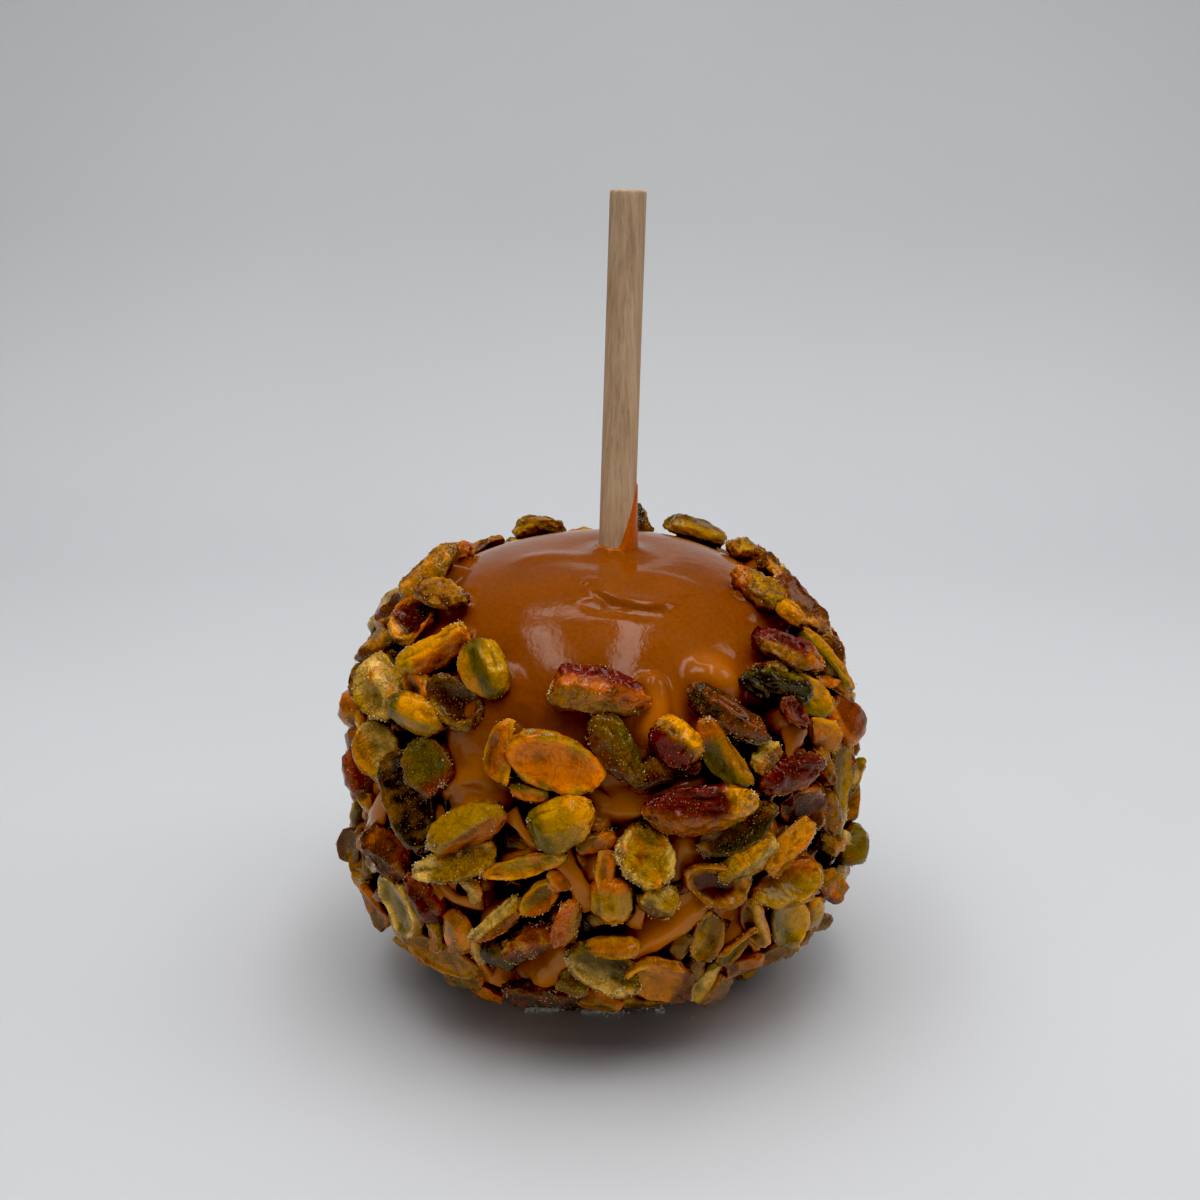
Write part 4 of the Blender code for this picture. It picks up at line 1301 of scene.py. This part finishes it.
SV, SQ, ST, count = [], [], [], 0
strand_rng = np.random.default_rng(23)
runs = [([land(x, y, h) for x, y, h, _ in line], [w for *_, w in line]) for line in STRANDS]
for _ in range(70):                           # the same between the kernels elsewhere
    az, T = strand_rng.uniform(34, 326), strand_rng.uniform(52, 138)
    h = strand_rng.uniform(-0.9, 0.9)
    a = on_body(az, T, strand_rng.uniform(-0.5, 1.0))
    c = on_body(az + 7 * math.sin(h), T + 8 * math.cos(h), strand_rng.uniform(-0.5, 1.0))
    mid = (a + c) / 2
    mid = mid + body_normal(mid) * strand_rng.uniform(1.2, 2.4)
    runs.append(([a, mid, c], [strand_rng.uniform(1.1, 2.0), strand_rng.uniform(0.6, 1.2), strand_rng.uniform(1.1, 2.0)]))
for pts_, widths_ in runs:
    vv, qq, tt = strand_mesh(np.array(pts_), widths_)
    SV.append(vv), SQ.append(qq + count), ST.append(tt + count)
    count += len(vv)
strands = make_mesh("caramel_strands", np.concatenate(SV), [np.concatenate(SQ), np.concatenate(ST)],
                    extra={"hollow": np.zeros(count)})
outward(strands)
strands.data.materials.append(MAT["caramel"])
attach(strands, "root")
pieces.append(strands)

# =====================================================================
# Stick, and the caramel that climbs it
# =====================================================================
U = unit(np.cross([0, 1.0, 0], LEAN))
V = np.cross(LEAN, U)           # V points away from the camera, U to the right


def tube(rows):
    """rows: list of (distance along the stick from its top, radius as a function of angle)."""
    return rows


seg = 56
phi = np.linspace(0, 2 * np.pi, seg, endpoint=False)
rows = []
for s, r in ((0.0, 0.0), (0.0, 1.2), (0.0, 2.2), (0.02, 2.75), (0.10, 2.98), (0.26, 3.10), (0.55, 3.165)):
    rows.append((s, r))
for s in np.linspace(1.4, STICK_LEN - 1.4, 64):
    rows.append((s, STICK_R))
for s, r in ((0.55, 3.165), (0.26, 3.10), (0.10, 2.98), (0.0, 2.2), (0.0, 0.0)):
    rows.append((STICK_LEN - s, r))
pts = []
for s, r in rows:
    c = STICK_TOP - LEAN * s
    q = c + (np.cos(phi)[:, None] * -V + np.sin(phi)[:, None] * U) * r
    if 1.0 < s < STICK_LEN - 1.0:
        streak = noise3(np.stack([np.cos(phi) * 4.5, np.sin(phi) * 4.5, np.full(seg, s * 0.02)], -1))
        q = q + (np.cos(phi)[:, None] * -V + np.sin(phi)[:, None] * U) * (0.035 * streak)[:, None]
    elif s < 1.0 and r > 0:
        rough = noise3(q * 1.6 + 3)
        q = q + LEAN * (0.06 * rough)[:, None]
    pts.append(q)
pts = np.array(pts)
stick_faces = grid_faces(len(rows), seg)
stick = make_mesh("stick_birch", pts.reshape(-1, 3), stick_faces)
import bmesh
bm = bmesh.new()
bm.from_mesh(stick.data)
bmesh.ops.remove_doubles(bm, verts=bm.verts, dist=1e-6)
bmesh.ops.recalc_face_normals(bm, faces=bm.faces)
bm.to_mesh(stick.data)
bm.free()
outward(stick)
stick.data.set_sharp_from_angle(angle=math.radians(50))
stick.data.materials.append(MAT["birch"])
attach(stick, "root")
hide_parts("stick")
pieces.append(stick)

# a thin wedge of caramel on the stick's right side, and a low ring at its foot
film_rows, film_seg = 46, 72
fphi = np.linspace(-np.pi, np.pi, film_seg, endpoint=False)
base_s = np.linalg.norm(STICK_TOP - STICK_BASE) + 3.0
fp = []
for i, s in enumerate(np.linspace(base_s, base_s - 15.5, film_rows)):
    h = base_s - 3.0 - s                    # height above the caramel
    left_edge = np.interp(h, [-3, 0, 1.5, 5, 9, 11.5, 12.5], [-40, 2, 14, 34, 58, 78, 92])
    right_edge = np.interp(h, [-3, 0, 1.5, 5, 9, 11.5, 12.5], [330, 300, 200, 165, 140, 118, 98])
    deg = np.degrees(fphi)
    deg = np.where(deg < -60, deg + 360, deg)
    inside = sstep(left_edge - 7, left_edge + 7, deg) * sstep(right_edge + 10, right_edge - 14, deg)
    inside = inside * sstep(12.9, 11.6, h)
    collar = sstep(1.6, -0.6, h)
    thickness_and_painted_light = -0.35 + np.maximum(inside * np.interp(h, [0, 5, 12], [1.05, 0.80, 0.58]), collar * 1.35)
    c = STICK_TOP - LEAN * s
    fp.append(c + (np.cos(fphi)[:, None] * -V + np.sin(fphi)[:, None] * U) * (STICK_R + thickness_and_painted_light)[:, None])
fp = np.array(fp)
n = film_rows * film_seg
fv = np.concatenate([fp.reshape(-1, 3), [fp[0].mean(0), fp[-1].mean(0)]])
jj = np.arange(film_seg)
ft = np.concatenate([
    np.stack([np.full(film_seg, n), (jj + 1) % film_seg, jj], -1),
    np.stack([np.full(film_seg, n + 1), (film_rows - 1) * film_seg + jj, (film_rows - 1) * film_seg + (jj + 1) % film_seg], -1)])
film = make_mesh("caramel_on_stick", fv, [grid_faces(film_rows, film_seg), ft])
outward(film)
film.data.materials.append(MAT["film"])
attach(film, "root")
pieces.append(film)

# =====================================================================
# Grains of salt and sugar
# =====================================================================
rng = np.random.default_rng(5)
crystal = np.array([[1, 0, 0], [-1, 0, 0], [0, 1, 0], [0, -1, 0], [0, 0, 1], [0, 0, -1]], float)
crystal_t = np.array([[0, 2, 4], [2, 1, 4], [1, 3, 4], [3, 0, 4], [2, 0, 5], [1, 2, 5], [3, 1, 5], [0, 3, 5]])
GV, GQ, GC = [], [], []
SALT = lin(250, 228, 176)


def add_grain(p, size, colour):
    a = unit(rng.normal(size=3))
    b = unit(np.cross(a, rng.normal(size=3)))
    c = np.cross(a, b)
    q = crystal * (size * rng.uniform(0.5, 1.0, 3)) * 0.62 + rng.normal(0, 0.10 * size, (6, 3))
    w = p + q[:, :1] * a + q[:, 1:2] * b + q[:, 2:] * c
    w[:, 2] += max(0.0, 0.03 - w[:, 2].min())
    GQ.append(crystal_t + 6 * len(GV))
    GV.append(w)
    GC.append(np.broadcast_to(colour, (6, 3)))


for k, vv, dd, cc in grain_sites:
    patch = noise3(vv / 3.0 + k.seed * 0.37)
    cand = np.where((dd @ body_normal(k.C) > 0.10) & (vv[:, 2] > 0.4) & (patch > -0.35))[0]
    if not len(cand):
        continue
    edge = 1 - np.abs(dd[cand] @ k.N)
    w = (0.12 + edge ** 2) * np.clip(patch[cand] + 0.15, 0.02, 1) ** 1.6
    pick = rng.choice(cand, int(k.salt * 3.8), p=w / w.sum())
    for i in pick:
        size = rng.uniform(0.16, 0.31) * (1.4 if rng.random() < 0.12 else 1)
        mixin = rng.uniform(0.35, 0.95)
        slide = rng.normal(0, 0.30, 3)
        slide -= dd[i] * (slide @ dd[i])
        # the grain takes part of the kernel's tint under it, painted shade included
        add_grain(vv[i] + dd[i] * size * 0.10 + slide, size, np.clip(cc[i] * 1.7, 0, 1) * (1 - mixin) + SALT * mixin)
# a fringe of it where the coat meets the table
for _ in range(400):
    pick = rng.random()
    az = rng.uniform(-180, 180) if pick < 0.30 else rng.normal((-30, 0, 30)[rng.integers(3)], 6)
    d = 22.5 + rng.normal(0, 0.5) + 1.2 * math.sin(az * 0.11)
    add_grain(np.array([d * math.sin(rad(az)), -d * math.cos(rad(az)), rng.uniform(0.20, 1.3)]), rng.uniform(0.30, 0.60), lin(250, 244, 232))
for x0, x1, y, n in ((-13.9, -7.8, -21.8, 120), (-3.6, 3.0, -22.4, 160), (9.8, 11.4, -22.2, 30)):
    for _ in range(n):
        add_grain(np.array([rng.uniform(x0, x1), y + rng.normal(0, 0.22), rng.uniform(0.15, 0.65)]), rng.uniform(0.36, 0.62), lin(252, 249, 242))
for x, y, size in ((16.3, -24.1, 0.5), (8.3, -31.9, 0.35), (7.4, -23.6, 0.35), (0.6, -32.9, 0.3), (-21.3, -28.0, 0.3)):
    add_grain(np.array([x, y, 0.3]), size, lin(226, 214, 190))
grains = make_mesh("salt_and_sugar_grains", np.concatenate(GV), np.concatenate(GQ), np.concatenate(GC), smooth=False)
grains.data.materials.append(MAT["grains"])
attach(grains, "root")
pieces.append(grains)

# =====================================================================
# Floor, backdrop, light and camera
# =====================================================================
prof = [(-1600.0, 0.0)]
prof += [(x, 0.0) for x in np.linspace(-600, 250, 14)]
for a in np.linspace(0, 90, 24)[1:]:
    prof.append((250 + 230 * math.sin(rad(a)), 230 * (1 - math.cos(rad(a)))))
prof += [(480.0, 262.0)]
xs = np.linspace(-1500, 1500, 31)
sv = np.array([[x, y, z] for (y, z) in prof for x in xs])
sweep = make_mesh("studio_floor", sv, grid_faces(len(prof), len(xs), wrap=False)[:, ::-1])
m = Nodes("studio_paper")
v = m.coords()
geo = m.node("ShaderNodeNewGeometry")
sep = m.node("ShaderNodeSeparateXYZ")
m.link(geo.outputs["Position"], sep.inputs[0])
wall = m.ramp(m.math("MULTIPLY", sep.outputs[2], 2.0), [(0.0, 0.0), (0.20, 1.0)], "EASE")
paper = m.mix(wall, lin(214, 215, 217), lin(200, 201, 201))
soft = m.ramp(m.noise(v, 6, 2), [(0.3, 0.985), (0.7, 1.015)])
m.set(Base_Color=m.mix(1.0, paper, soft, "MULTIPLY"), Roughness=0.75, Specular_IOR_Level=0.2)
m.set(Normal=m.bump(m.noise(v, 900, 2), 0.03, 0.0005))
sweep.data.materials.append(m.mat)


def area(name, loc, target, size, power, colour=(1, 1, 1)):
    data = bpy.data.lights.new(name, "AREA")
    data.shape = "RECTANGLE"
    data.size, data.size_y = size
    data.energy = power
    data.color = colour
    obj = bpy.data.objects.new(name, data)
    bpy.context.scene.collection.objects.link(obj)
    obj.location = loc
    d = Vector(target) - Vector(loc)
    obj.rotation_euler = d.to_track_quat("-Z", "Y").to_euler()
    return obj


def flat_area(name, loc, size, radiance, glossy=True):
    """A rectangle facing down, of a given brightness."""
    lamp = area(name, loc, (loc[0], loc[1], 0), size, radiance * math.pi * size[0] * size[1])
    lamp.rotation_euler = (0, 0, 0)
    lamp.visible_glossy = glossy
    return lamp


flat_area("panel_over", (0.03, 0.0, 0.64), (0.95, 0.95), 1.27, False)
flat_area("bar_left", (-0.165, -0.06, 0.50), (0.075, 0.30), 3.3)
flat_area("bar_right", (0.080, -0.09, 0.50), (0.080, 0.44), 3.3)
flat_area("bar_back", (-0.045, 0.160, 0.50), (0.24, 0.045), 3.3)
side = area("panel_right", (0.46, -0.06, 0.42), (0, 0, 0.05), (0.22, 0.22), 2.0 * math.pi * 0.0484)
front = area("panel_front", (0.0, -0.85, 0.30), (0, 0, 0.04), (1.1, 0.5), 0.44 * math.pi * 0.55)
front.visible_glossy = False
wall = area("wall_light", (0.0, -0.10, 0.70), (0, 0.48, 0.15), (0.9, 0.3), 0.55)
wall.visible_glossy = False

world = bpy.data.worlds.new("studio")
world.use_nodes = True
world.node_tree.nodes["Background"].inputs["Color"].default_value = (0.86, 0.88, 0.92, 1)
world.node_tree.nodes["Background"].inputs["Strength"].default_value = 0.19
bpy.context.scene.world = world
view = bpy.context.scene.view_settings
view.view_transform = "Standard"
view.use_curve_mapping = True
view.curve_mapping.black_level = (0.0165, 0.0165, 0.0165)
view.curve_mapping.update()
view.gamma = 0.90

cam_data = bpy.data.cameras.new("camera")
cam_data.sensor_width = 36.0
cam_data.sensor_fit = "AUTO"
cam_data.lens = 36.0 * FOCAL_PX / 1200.0
cam_data.clip_start = 0.01
cam_data.clip_end = 10.0
cam = bpy.data.objects.new("camera", cam_data)
bpy.context.scene.collection.objects.link(cam)
cam.location = Vector(CAM * 0.001)
cam.rotation_euler = (math.pi / 2 - PITCH, 0, 0)
bpy.context.scene.camera = cam

tris_total = 0
for o in pieces:
    t = sum(len(p.vertices) - 2 for p in o.data.polygons)
    tris_total += t
    if t > 100000:
        print("piece", o.name, t)
print("triangles in all", tris_total)
